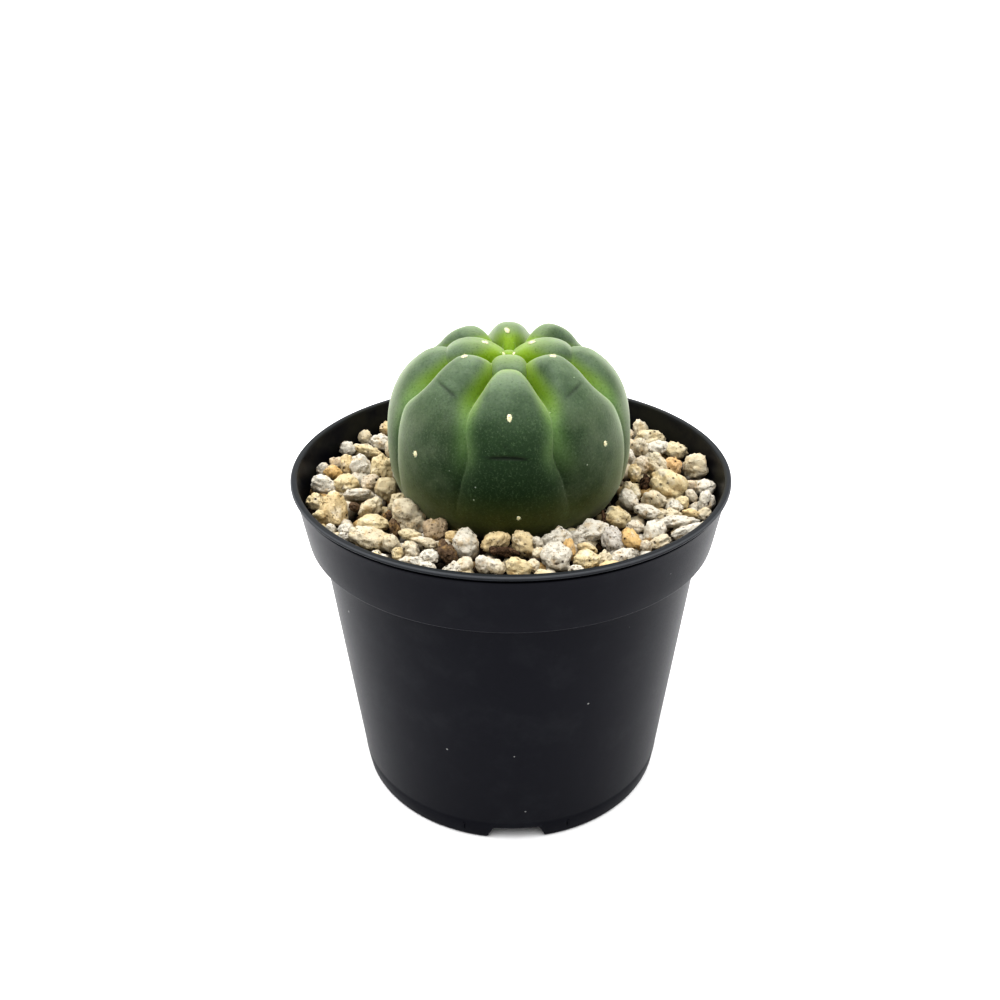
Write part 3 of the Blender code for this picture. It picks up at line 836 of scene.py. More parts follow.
@dataclass
class NurseryPot:
    """The pot: a thin shell with lip, collar band, notched foot ring and drained floor. Sizes are in metres."""

    height: float = 80.0 * MM
    lip_radius: float = 50.0 * MM
    lip_height: float = 1.0 * MM
    lip_width: float = 1.6 * MM
    lip_round: float = 0.49 * MM
    undercut_height: float = 0.65 * MM
    undercut_radius: float = 48.85 * MM
    band_top_radius: float = 49.2 * MM
    band_foot_radius: float = 47.1 * MM
    band_foot_height: float = 65.2 * MM
    band_foot_round: float = 0.4 * MM
    band_top_round: float = 0.2 * MM
    under_band_round: float = 0.3 * MM
    band_bore_spare: float = 0.1 * MM
    wall_top_radius: float = 44.3 * MM
    foot_radius: float = 37.35 * MM
    foot_round: float = 0.9 * MM
    foot_ring_width: float = 1.9 * MM
    foot_ring_slope: float = 0.3 * MM
    wall: float = 1.05 * MM
    floor_height: float = 4.2 * MM
    notch_turn: float = 1.9 * DEG
    notch_count: int = 3
    notch_top_width: float = 10.9 * MM
    notch_foot_width: float = 13.2 * MM
    notch_height: float = 3.8 * MM
    notch_foot_round: float = 1.5 * MM
    notch_top_round: float = 0.9 * MM
    notch_spare: float = 3.0 * MM
    drain_count: int = 6
    drain_radius: float = 3.5 * MM
    drain_circle: float = 23.0 * MM
    drain_turn: float = 16.3 * DEG
    drain_segments: int = 48
    cutter_spare: float = 2.0 * MM
    line_height: float = 4.6 * MM
    line_depth: float = 0.05 * MM
    line_round: float = 0.12 * MM
    segments: int = 192
    wall_rows: int = 12
    band_rows: int = 6
    bore_rows: int = 8
    tick_turns: tuple[float, ...] = (-17.0, 21.0, 97.0, 143.0, 218.0, 262.0)
    tick_drop: float = 1.4 * MM
    tick_size: tuple[float, float, float] = (0.35 * MM, 0.5 * MM, 1.9 * MM)

    @property
    def band_top_height(self) -> float:
        """Height of the band's top edge, under the groove below the lip."""
        return self.height - self.lip_height - self.undercut_height

    def wall_radius(self, height: float) -> float:
        """Outer radius of the lower wall at a height."""
        return self.foot_radius + (self.wall_top_radius - self.foot_radius) * height / self.band_foot_height

    def band_radius(self, height: float) -> float:
        """Outer radius of the collar band at a height."""
        share = (height - self.band_foot_height) / (self.band_top_height - self.band_foot_height)
        return self.band_foot_radius + (self.band_top_radius - self.band_foot_radius) * share

    def bore_radius(self, height: float) -> float:
        """Inner radius at a height above the floor."""
        if height > self.band_foot_height + self.wall:
            return self.band_radius(height) - self.wall + self.band_bore_spare
        return self.wall_radius(height) - self.wall

    @staticmethod
    def corner(centre: tuple[float, float], size: float, start: float, end: float, steps: int = 6) -> Profile:
        """Points of a rounded corner of the profile.

        Args:
            centre: Radius and height of its middle.
            size: Its radius.
            start: First angle in degrees.
            end: Last angle in degrees.
            steps: Number of spans.

        Returns:
            The points in order.
        """
        angles = [math.radians(start + (end - start) * i / steps) for i in range(steps + 1)]
        return [(centre[0] + size * math.cos(a), centre[1] + size * math.sin(a)) for a in angles]

    def outside(self) -> Profile:
        """Profile from the middle of the underside, out over the foot and up to the lip."""
        under_lip = self.height - self.lip_height
        ring_bore = self.foot_radius - self.foot_ring_width
        low = self.line_height
        points = [(0.0, self.floor_height), (ring_bore + self.foot_ring_slope, self.floor_height), (ring_bore, 0.0)]
        points += self.corner((self.foot_radius - self.foot_round, self.foot_round), self.foot_round, -90.0, 0.0)
        points += [(self.wall_radius(low) + self.line_depth, low)]
        points += [(self.wall_radius(low + self.line_round), low + self.line_round)]
        step = self.band_foot_height
        points += [(self.wall_radius(h), h) for h in np.linspace(low + 1.0 * MM, step - 0.9 * MM, self.wall_rows)]
        size = self.under_band_round
        points += self.corner((self.wall_radius(step) + size, step - size), size, 180.0, 90.0, 4)
        size = self.band_foot_round
        points += self.corner((self.band_foot_radius - size, step + size), size, -90.0, 0.0, 5)
        edge = self.band_top_height
        points += [(self.band_radius(h), h) for h in np.linspace(step + 1.2 * MM, edge - 0.5 * MM, self.band_rows)]
        size = self.band_top_round
        points += self.corner((self.band_top_radius - size, edge - size), size, 0.0, 90.0, 4)
        return points + [(self.undercut_radius, edge), (self.undercut_radius, under_lip)]

    def lip_and_inside(self) -> Profile:
        """Profile over the lip, down the inner wall and to the middle of the floor."""
        under_lip = self.height - self.lip_height
        outer = self.lip_radius - self.lip_round
        inner = self.lip_radius - self.lip_width + self.lip_round
        points = self.corner((outer, under_lip + self.lip_round), self.lip_round, -85.0, 0.0)
        points += self.corner((outer, self.height - self.lip_round), self.lip_round, 0.0, 90.0)
        points += self.corner((inner, self.height - self.lip_round), self.lip_round, 90.0, 180.0)
        step = self.band_foot_height + self.wall + 0.2 * MM
        points += [(self.bore_radius(h), h) for h in np.linspace(under_lip - 0.6 * MM, step, self.band_rows)]
        floor = self.floor_height + self.wall
        points += [(self.wall_radius(step) - self.wall, step - 0.3 * MM)]
        points += [(self.bore_radius(h), h) for h in np.linspace(step - 2.0 * MM, floor + 0.5 * MM, self.bore_rows)]
        return points + [(self.bore_radius(floor) - 0.5 * MM, floor), (0.0, floor)]

    def notch(self, turn: float) -> BMesh:
        """A cutter for one notch, with rounded shoulders and rounded feet.

        Args:
            turn: Angle from the front in radians.

        Returns:
            The cutter.
        """
        half_foot = 0.5 * self.notch_foot_width
        half_top = 0.5 * self.notch_top_width
        foot, top = self.notch_foot_round, self.notch_top_round
        right = [(half_foot + 1.6 * foot, -0.7 * foot)]
        right += self.corner((half_foot + foot - 0.2 * MM, foot), foot, -90.0, -175.0, 5)
        right += self.corner((half_top - top + 0.25 * MM, self.notch_height - top), top, 5.0, 90.0, 5)
        section = right + [(-x, z) for x, z in reversed(right)]
        bm = bmesh.new()
        front = -self.foot_radius - self.notch_spare
        back = -self.foot_radius + self.foot_ring_width + self.cutter_spare
        near, far = ([bm.verts.new((x, y, z)) for x, z in section] for y in (front, back))
        bm.faces.new(near)
        bm.faces.new(far[::-1])
        join_rings(bm, near, far)
        bmesh.ops.rotate(bm, verts=bm.verts[:], matrix=Matrix.Rotation(turn, 3, "Z"))
        return bm

    def cutters(self) -> Collection:
        """All the notches and drainage holes, as one collection of cutters."""
        cutters = bpy.data.collections.new("pot_cutters")
        bpy.context.scene.collection.children.link(cutters)
        shapes = [self.notch(self.notch_turn + math.tau * i / self.notch_count) for i in range(self.notch_count)]
        low = self.floor_height - self.cutter_spare
        high = self.floor_height + self.wall + self.cutter_spare
        for index in range(self.drain_count + 1):
            turn = self.drain_turn + math.tau * index / self.drain_count
            reach = self.drain_circle if index else 0.0
            bm = bmesh.new()
            profile = [(0.0, low), (self.drain_radius, low), (self.drain_radius, high), (0.0, high)]
            turned(bm, profile, self.drain_segments, Vector((reach * math.cos(turn), reach * math.sin(turn), 0.0)))
            shapes.append(bm)
        for bm in shapes:
            cutters.objects.link(bpy.data.objects.new("pot_cutter", mesh_from(bm)))
        return cutters

    def ticks(self, bm: BMesh) -> None:
        """Add the short moulded ribs that stand on the wall just above the foot.

        Args:
            bm: The bmesh to add them to.
        """
        height = self.line_height - self.tick_drop
        for degrees in self.tick_turns:
            box = bmesh.ops.create_cube(bm, size=1.0)["verts"]
            bmesh.ops.scale(bm, verts=box, vec=self.tick_size)
            bmesh.ops.translate(bm, verts=box, vec=(0.0, -self.wall_radius(height), height))
            bmesh.ops.rotate(bm, verts=box, matrix=Matrix.Rotation(math.radians(degrees), 3, "Z"))

    def build(self, finish: Material) -> Object:
        """Build the pot.

        Args:
            finish: Material of the plastic.

        Returns:
            The piece that stands for the CAD pot.
        """
        bm = bmesh.new()
        turned(bm, self.outside() + self.lip_and_inside(), self.segments)
        host = add_object("pot_shell", mesh_from(bm), finish)
        cutters = self.cutters()
        cut = host.modifiers.new("openings", "BOOLEAN")
        cut.operation = "DIFFERENCE"
        cut.operand_type = "COLLECTION"
        cut.collection = cutters
        mesh = baked(host)
        for cutter in list(cutters.objects):
            bpy.data.objects.remove(cutter)
        bpy.data.collections.remove(cutters)
        bm = bmesh.new()
        bm.from_mesh(mesh)
        self.ticks(bm)
        mesh = mesh_from(bm, 32.0)
        return publish(add_object("nursery_pot", mesh, finish), Slot.POT, replaces=True)


@dataclass(frozen=True)
class Fold:
    """A short crease across a rib, under an areole."""

    rib: int
    polar: float
    offset: float
    half_length: float
    half_width: float
    depth: float
    slant: float = 0.0
    droop: float = 22.0


@dataclass(frozen=True)
class Young:
    """A young tubercle inside the inner end of a rib. Lengths are in metres."""

    polar: float
    sink: float
    along: float
    half_width: float
    fall: float


@dataclass(frozen=True)
class Rib:
    """One rib: where its crest starts to sink at the crown and how roundly, its waists and what it adds there."""

    turn: float
    inner_end: float
    end_curve: float
    waists: tuple[float, ...]
    young: Young | None = None
    rise: float = 0.0
    low_turn: float = 0.0
    notch: float = 0.0


FRONT_YOUNG = Young(18.0, 2.5 * MM, 13.0 * MM, 4.8 * MM, 2.0 * MM)
SIDE_YOUNG = Young(23.0, 0.5 * MM, 11.0 * MM, 5.2 * MM, 2.8 * MM)
RIBS = (
    Rib(0.0, 48.0, 14.0 * MM, (77.0,), FRONT_YOUNG),
    Rib(44.0, 33.0, 4.5 * MM, (50.0, 104.0), rise=0.3 * MM, low_turn=9.0, notch=0.35 * MM),
    Rib(90.0, 44.0, 8.0 * MM, (33.0, 77.0), SIDE_YOUNG, 0.3 * MM, 4.0),
    Rib(132.5, 32.0, 6.5 * MM, (48.0, 92.0), rise=1.3 * MM, notch=0.9 * MM),
    Rib(180.0, 27.0, 7.0 * MM, (53.0, 104.0), rise=0.4 * MM),
    Rib(227.0, 32.0, 6.5 * MM, (48.0, 92.0), rise=0.8 * MM, notch=0.8 * MM),
    Rib(270.0, 44.0, 8.0 * MM, (33.0, 77.0), SIDE_YOUNG, 0.3 * MM),
    Rib(317.0, 33.0, 4.5 * MM, (50.0, 104.0), rise=0.3 * MM, low_turn=-2.0, notch=0.35 * MM),
)


@dataclass
class CactusGlobe:
    """The plant: eight ribs round its heart, shaped by how far each lobe lies under the ribs' crest. In metres."""

    heart: Vector = field(default_factory=lambda: Vector((-0.4 * MM, 0.0, 86.6 * MM)))
    globe_radius: float = 27.4 * MM
    crown_rise: float = 23.7 * MM
    base_drop: float = 20.2 * MM
    squareness: float = 2.58
    ribs: tuple[Rib, ...] = RIBS
    rise_polar: float = 28.0 * DEG
    rise_spread: float = 14.0 * DEG
    turn_range: Span = (62.0 * DEG, 94.0 * DEG)
    swell_seed: int = 6
    swell_count: int = 14
    swell_height: float = 0.035 * MM
    side_groove: float = 1.15 * MM
    shoulder_groove: float = 4.6 * MM
    shoulder_polar: float = 40.0 * DEG
    shoulder_spread: float = 26.0 * DEG
    shoulder_end: float = 66.0 * DEG
    groove_fade: Span = (84.0 * DEG, 116.0 * DEG)
    lobe_power: float = 3.3
    least_half_width: float = 2.2 * MM
    waist_sink: float = 1.1 * MM
    waist_spread: float = 8.0 * DEG
    lobe_blend: float = 0.10 * MM
    crease_depth: float = 0.26 * MM
    crease_width: float = 0.16 * MM
    apex_sink: float = 3.4 * MM
    apex_curve: float = 6.0 * MM
    body_end: float = 138.0 * DEG
    rings: int = 260
    columns: int = 352
    column_bias: float = 0.45
    edge_margin: float = 0.35 * MM
    young_edge_share: float = 0.9
    lowest_seen: float = 128.0 * DEG
    full_fold_depth: float = 0.30 * MM
    side_light_turns: Span = (20.0 * DEG, 34.0 * DEG)
    side_light_heights: Span = (0.46, 0.64)
    folds: tuple[Fold, ...] = (
        Fold(0, 75.0 * DEG, -0.25 * MM, 3.9 * MM, 0.36 * MM, 0.44 * MM, 0.03),
        Fold(0, 70.8 * DEG, -0.5 * MM, 0.9 * MM, 0.30 * MM, 0.12 * MM, 1.1),
        Fold(7, 49.0 * DEG, 1.5 * MM, 2.8 * MM, 0.42 * MM, 0.20 * MM, 0.35),
        Fold(1, 50.0 * DEG, -1.5 * MM, 2.8 * MM, 0.42 * MM, 0.18 * MM, -0.35),
    )

    def rib_azimuths(self) -> list[float]:
        """Angle of each rib from the front."""
        return [math.radians(rib.turn) for rib in self.ribs]

    def crest_reach(self, polar: np.ndarray) -> np.ndarray:
        """Distance from the heart to the crests of the ribs."""
        height = np.where(np.cos(polar) > 0.0, self.crown_rise, self.base_drop)
        across = (np.abs(np.sin(polar)) / self.globe_radius) ** self.squareness
        along = (np.abs(np.cos(polar)) / height) ** self.squareness
        return (across + along) ** (-1.0 / self.squareness)

    def groove_fading(self, polar: np.ndarray) -> np.ndarray:
        """Share of the grooves that is left towards the foot, from 1 to 0."""
        return 1.0 - smooth(polar, *self.groove_fade)

    def groove_depth(self, polar: np.ndarray) -> np.ndarray:
        """Depth of the grooves between the ribs, deepest on the shoulder."""
        inward = np.minimum(polar - self.shoulder_polar, 0.0) / self.shoulder_spread
        wedge = np.exp(-(inward**2)) * (1.0 - smooth(polar, self.shoulder_polar, self.shoulder_end))
        return (self.side_groove + self.shoulder_groove * wedge) * self.groove_fading(polar)

    def rib_sink(self, index: int, polar: np.ndarray, azimuth: np.ndarray) -> list[np.ndarray]:
        """How far the lobes of one rib lie under the crest line.

        Args:
            index: Number of the rib, counted from the front.
            polar: Angles from straight up.
            azimuth: Angles from the front.

        Returns:
            The sink of the rib, and of its young tubercle where it has one.
        """
        rib = self.ribs[index]
        turn = math.radians(rib.turn) + math.radians(rib.low_turn) * smooth(polar, *self.turn_range)
        crest = self.crest_reach(polar)
        half = math.pi / len(self.ribs)
        width = np.maximum(crest * np.sin(polar) * math.sin(half), self.least_half_width)
        side = crest * np.sin(polar) * np.sin(azimuth - turn)
        along = np.arctan2(np.sin(polar) * np.cos(azimuth - turn), np.cos(polar))
        past_end = crest * np.maximum(math.radians(rib.inner_end) - along, 0.0)
        depth = self.groove_depth(polar)
        for waist in rib.waists:
            near = np.exp(-(((polar - math.radians(waist)) / self.waist_spread) ** 2))
            depth = depth + self.waist_sink * near * self.groove_fading(polar)
        rise = rib.rise * np.exp(-(((along - self.rise_polar) / self.rise_spread) ** 2))
        notch = rib.notch * np.exp(-(((polar - math.radians(rib.waists[0])) / self.waist_spread) ** 2))
        sinks = [depth * np.abs(side / width) ** self.lobe_power + past_end**2 / (2.0 * rib.end_curve) - rise + notch]
        if rib.young:
            off = crest * (along - math.radians(rib.young.polar))
            fall = rib.young.fall * np.abs(side / rib.young.half_width) ** self.lobe_power
            sinks.append(rib.young.sink + off**2 / (2.0 * rib.young.along) + fall - rise)
        return sinks

    def sinks(self, polar: np.ndarray, azimuth: np.ndarray) -> np.ndarray:
        """How far the apex and each of the lobes lie under the crest, one after the other."""
        sinks = [self.apex_sink + (self.crest_reach(polar) * polar) ** 2 / (2.0 * self.apex_curve)]
        for index in range(len(self.ribs)):
            sinks += self.rib_sink(index, polar, azimuth)
        return np.stack(sinks)

    def sink(self, polar: np.ndarray, azimuth: np.ndarray) -> np.ndarray:
        """How far the skin lies under the crest: the least sink of all the lobes, with a crease where two meet.

        Args:
            polar: Angles from straight up.
            azimuth: Angles from the front.

        Returns:
            The sink at each place, in metres.
        """
        sinks = self.sinks(polar, azimuth)
        nearest, second = np.sort(sinks, axis=0)[:2]
        blend = np.log(np.exp(-(sinks - nearest) / self.lobe_blend).sum(axis=0))
        crease = self.crease_depth * np.exp(-(second - nearest) / self.crease_width) * self.groove_fading(polar)
        return nearest - self.lobe_blend * blend + crease

    def edge(self, polar: np.ndarray, azimuth: np.ndarray) -> np.ndarray:
        """How far each place lies into a groove, from 0 on the crest of its lobe to 1."""
        bases = [0.0]
        for rib in self.ribs:
            bases += [0.0, self.young_edge_share * rib.young.sink] if rib.young else [0.0]
        sinks = self.sinks(polar, azimuth)
        nearest = sinks.argmin(axis=0)
        fall = np.take_along_axis(sinks, nearest[None], axis=0)[0] - np.array(bases)[nearest]
        return np.clip(fall / (self.groove_depth(polar) + self.edge_margin), 0.0, 1.0)

    def fold_mask(self, polar: np.ndarray, azimuth: np.ndarray) -> tuple[np.ndarray, np.ndarray]:
        """The small creases across the ribs.

        Args:
            polar: Angles from straight up.
            azimuth: Angles from the front.

        Returns:
            The depth of the creases in metres, and their mask from 0 to 1.
        """
        depth = np.zeros_like(polar)
        mask = np.zeros_like(polar)
        crest = self.crest_reach(polar)
        turns = self.rib_azimuths()
        for fold in self.folds:
            side = crest * np.sin(polar) * np.sin(azimuth - turns[fold.rib]) - fold.offset
            near = np.cos(azimuth - turns[fold.rib]) > 0.0
            off = crest * (polar - fold.polar) - fold.slant * side - fold.droop * side**2
            line = np.exp(-((off / fold.half_width) ** 2)) * np.exp(-((side / fold.half_length) ** 4)) * near
            depth += fold.depth * line
            mask = np.maximum(mask, line * fold.depth / self.full_fold_depth)
        return depth, mask

    def unevenness(self, polar: np.ndarray, azimuth: np.ndarray) -> np.ndarray:
        """Slow natural swells of the skin, a few hundredths of a millimetre to a tenth."""
        draw = random.Random(self.swell_seed)
        swell = np.zeros_like(polar)
        for _ in range(self.swell_count):
            turns = draw.randint(1, 11)
            waves = draw.uniform(3.0, 12.0)
            phase = draw.uniform(0.0, math.tau)
            swell += draw.uniform(0.3, 1.0) * np.sin(turns * azimuth + phase) * np.sin(waves * polar + 2.0 * phase)
        return self.swell_height * swell * np.clip(np.sin(polar) * 2.0, 0.0, 1.0)

    def reach(self, polar: np.ndarray, azimuth: np.ndarray) -> np.ndarray:
        """Distance from the heart to the skin."""
        folds = self.fold_mask(polar, azimuth)[0]
        return self.crest_reach(polar) - self.sink(polar, azimuth) - folds + self.unevenness(polar, azimuth)

    def points(self, polar: np.ndarray, azimuth: np.ndarray, lift: float = 0.0) -> np.ndarray:
        """Places on the skin, or at a lift above it."""
        reach = self.reach(polar, azimuth) + lift
        x = self.heart.x + reach * np.sin(polar) * np.sin(azimuth)
        y = self.heart.y - reach * np.sin(polar) * np.cos(azimuth)
        return np.stack([x, y, self.heart.z + reach * np.cos(polar)], axis=-1)

    def foot_radius(self, height: float) -> float:
        """Radius of the round foot of the plant at a height below its widest part."""
        polar = np.linspace(80.0 * DEG, 150.0 * DEG, 240)
        reach = self.crest_reach(polar)
        return float(np.interp(-height, -(self.heart.z + reach * np.cos(polar)), reach * np.sin(polar)))

    def frame_at(self, polar: float, azimuth: float) -> Matrix:
        """A frame on the skin: X across the rib, Y up along it and Z out of it.

        Args:
            polar: Angle from straight up.
            azimuth: Angle from the front.

        Returns:
            The frame as a 4 by 4 matrix.
        """
        step = 0.01
        sideways = step / max(math.sin(polar), 0.05)
        polars, azimuths = np.array([polar, polar - step, polar]), np.array([azimuth, azimuth, azimuth + sideways])
        middle, up, across = [Vector(point) for point in self.points(polars, azimuths)]
        y_axis = (up - middle).normalized()
        z_axis = (across - middle).cross(y_axis).normalized()
        return frame_matrix(y_axis.cross(z_axis), y_axis, z_axis, middle)

    def build(self, finish: Material) -> Object:
        """Build the body of the plant, closed under the dressing.

        Args:
            finish: Material of the skin.

        Returns:
            The piece that stands for the CAD plant.
        """
        turns = np.arange(self.columns) * math.tau / self.columns
        turns += self.column_bias / len(self.ribs) * np.sin(len(self.ribs) * turns)
        polar, azimuth = np.meshgrid(np.linspace(0.0, self.body_end, self.rings + 1)[1:], turns, indexing="ij")
        rows = self.points(polar, azimuth)
        top = self.points(np.array([1e-6]), np.array([0.0]))
        bm = bmesh.new()
        rings = [[bm.verts.new(point) for point in row.tolist()] for row in (top, *rows)]
        rings.append([bm.verts.new((self.heart.x, self.heart.y, float(rows[-1, :, 2].mean()) - 1.0 * MM))])
        for upper, lower in zip(rings, rings[1:]):
            join_rings(bm, upper, lower)
        mesh = mesh_from(bm, 180.0)
        height = 1.0 - polar / self.lowest_seen
        self.carry(mesh, "edge", self.edge(polar, azimuth), 0.8)
        self.carry(mesh, "height", np.clip(height, 0.0, 1.0), 1.0)
        # Mask of the painted light on the side ribs: off the front rib and below the crown.
        off_front = np.abs((azimuth + math.pi) % math.tau - math.pi)
        painted_side_light = smooth(off_front, *self.side_light_turns) * (1.0 - smooth(height, *self.side_light_heights))
        self.carry(mesh, "painted_side_light", painted_side_light, 0.0)
        # The crease mask, which carries painted shade in the creases.
        self.carry(mesh, "fold", np.clip(self.fold_mask(polar, azimuth)[1], 0.0, 1.0), 0.0)
        return publish(add_object("cactus_globe", mesh, finish), Slot.CACTUS, replaces=True)

    @staticmethod
    def carry(mesh: Mesh, name: str, values: np.ndarray, at_top: float) -> None:
        """Store a value on the points of the body, for its material.

        Args:
            mesh: The body's mesh.
            name: Name of the attribute.
            values: One value for each ring and column.
            at_top: Value at the apex.
        """
        attribute = mesh.attributes.new(name, "FLOAT", "POINT")
        flat = np.concatenate([[at_top], values.ravel(), [0.0]]).astype(np.float32)
        attribute.data.foreach_set("value", flat)


def grown(host: Object, tree: NodeTree, values: dict[str, object], name: str) -> Object:
    """Run Geometry Nodes on an object, and turn what they make into one plain piece.

    Args:
        host: The object to start from, which is removed.
        tree: The Geometry Nodes.
        values: Values of the tree's inputs by name, which are set by the sockets' identifiers.
        name: Name of the piece.

    Returns:
        The piece, with its place in its mesh.
    """
    modifier = host.modifiers.new("nodes", "NODES")
    modifier.node_group = tree
    identifiers = {socket.name: socket.identifier for socket in tree.interface.items_tree if socket.in_out == "INPUT"}
    for label, value in values.items():
        modifier[identifiers[label]] = value
    mesh = baked(host)
    mesh.shade_smooth()
    return add_object(name, mesh)


def finished(canvas: Canvas, end: Node, geometry: NodeSocket, finish: object) -> NodeTree:
    """End a tree of Geometry Nodes: make its instances real and give them their material.

    Args:
        canvas: The canvas of the tree.
        end: Its output node.
        geometry: The instances.
        finish: The material's socket.

    Returns:
        The tree.
    """
    real = canvas.add("GeometryNodeRealizeInstances", {"Geometry": geometry})
    dressed = canvas.add("GeometryNodeSetMaterial", {"Geometry": real.outputs["Geometry"], "Material": finish})
    canvas.feed(end, {"Geometry": dressed.outputs["Geometry"]})
    return canvas.tree


def placing_tree() -> NodeTree:
    """Geometry Nodes that set a shape on each point, with the kind, size and turn that the point carries.

    Returns:
        The tree, with inputs Geometry, Shapes, Scale, Spin, Seed and Finish.
    """
    inputs = {"Geometry": "Geometry", "Shapes": "Collection", "Scale": "Float"}
    inputs |= {"Spin": "Float", "Seed": "Int", "Finish": "Material"}
    canvas, given, end = new_group("shapes on points", "GeometryNodeTree", inputs, ("Geometry", "Geometry"))
    feeds = {"Collection": given["Shapes"], "Separate Children": True, "Reset Children": True}
    shapes = canvas.add("GeometryNodeCollectionInfo", feeds)
    kinds = {"stone_kind": "INT", "stone_size": "FLOAT_VECTOR", "stone_turn": "FLOAT_VECTOR"}
    kind, size, turn = (
        canvas.add("GeometryNodeInputNamedAttribute", {"Name": name}, data_type=data_type).outputs["Attribute"]
        for name, data_type in kinds.items()
    )
    scale = canvas.vector("SCALE", {0: size, "Scale": given["Scale"]})
    whole_turn = {"Seed": given["Seed"], "Max": (math.tau, math.tau, math.tau)}
    chance = canvas.add("FunctionNodeRandomValue", whole_turn, data_type="FLOAT_VECTOR").outputs["Value"]
    spin = canvas.vector("SCALE", {0: chance, "Scale": given["Spin"]})
    feeds = {
        "Points": given["Geometry"],
        "Instance": shapes.outputs["Instances"],
        "Pick Instance": True,
        "Instance Index": kind,
        "Rotation": canvas.vector("ADD", {0: turn, 1: spin}),
        "Scale": scale,
    }
    placed = canvas.add("GeometryNodeInstanceOnPoints", feeds)
    return finished(canvas, end, placed.outputs["Instances"], given["Finish"])


def wool_tree() -> NodeTree:
    """Geometry Nodes that grow short hairs out of small pads.

    Returns:
        The tree, with inputs Geometry, Hair, Density, Length, Lean, Seed and Finish.
    """
    shortest = 0.55
    inputs = {"Geometry": "Geometry", "Hair": "Object", "Density": "Float", "Length": "Float", "Lean": "Float"}
    inputs |= {"Seed": "Int", "Finish": "Material"}
    canvas, given, end = new_group("wool on pads", "GeometryNodeTree", inputs, ("Geometry", "Geometry"))
    seed = {"Seed": given["Seed"]}
    feeds = {"Mesh": given["Geometry"], "Density": given["Density"]} | seed
    roots = canvas.add("GeometryNodeDistributePointsOnFaces", feeds)
    every_way = seed | {"Min": (-1.0, -1.0, 0.0), "Max": (1.0, 1.0, math.tau)}
    lean = canvas.add("FunctionNodeRandomValue", every_way, data_type="FLOAT_VECTOR")
    tilt = canvas.vector("SCALE", {0: lean.outputs["Value"], "Scale": given["Lean"]})
    feeds = {"Rotation": roots.outputs["Rotation"], "Rotate By": tilt}
    turned_roots = canvas.add("FunctionNodeRotateRotation", feeds, rotation_space="LOCAL")
    size = canvas.add("FunctionNodeRandomValue", seed | {2: shortest, 3: 1.0}, data_type="FLOAT")
    long = canvas.add("ShaderNodeMath", {0: size.outputs[1], 1: given["Length"]}, operation="MULTIPLY")
    hair = canvas.add("GeometryNodeObjectInfo", {"Object": given["Hair"], "As Instance": True})
    feeds = {
        "Points": roots.outputs["Points"],
        "Instance": hair.outputs["Geometry"],
        "Rotation": turned_roots.outputs["Rotation"],
        "Scale": long.outputs[0],
    }
    hairs = canvas.add("GeometryNodeInstanceOnPoints", feeds)
    both = canvas.add("GeometryNodeJoinGeometry", {0: given["Geometry"]})
    canvas.feed(both, {0: hairs.outputs["Instances"]})
    return finished(canvas, end, both.outputs["Geometry"], given["Finish"])


@dataclass(frozen=True)
class SeenAreole:
    """A woolly pad that the photo shows: its pixels, and its half length and half width."""

    x: float
    y: float
    long: float
    wide: float


@dataclass(frozen=True)
class Areole:
    """A woolly pad on a rib on the far side, placed by angles in degrees."""

    rib: int
    polar: float
    sideways: float = 0.0
    long: float = 0.8 * MM
    wide: float = 0.5 * MM


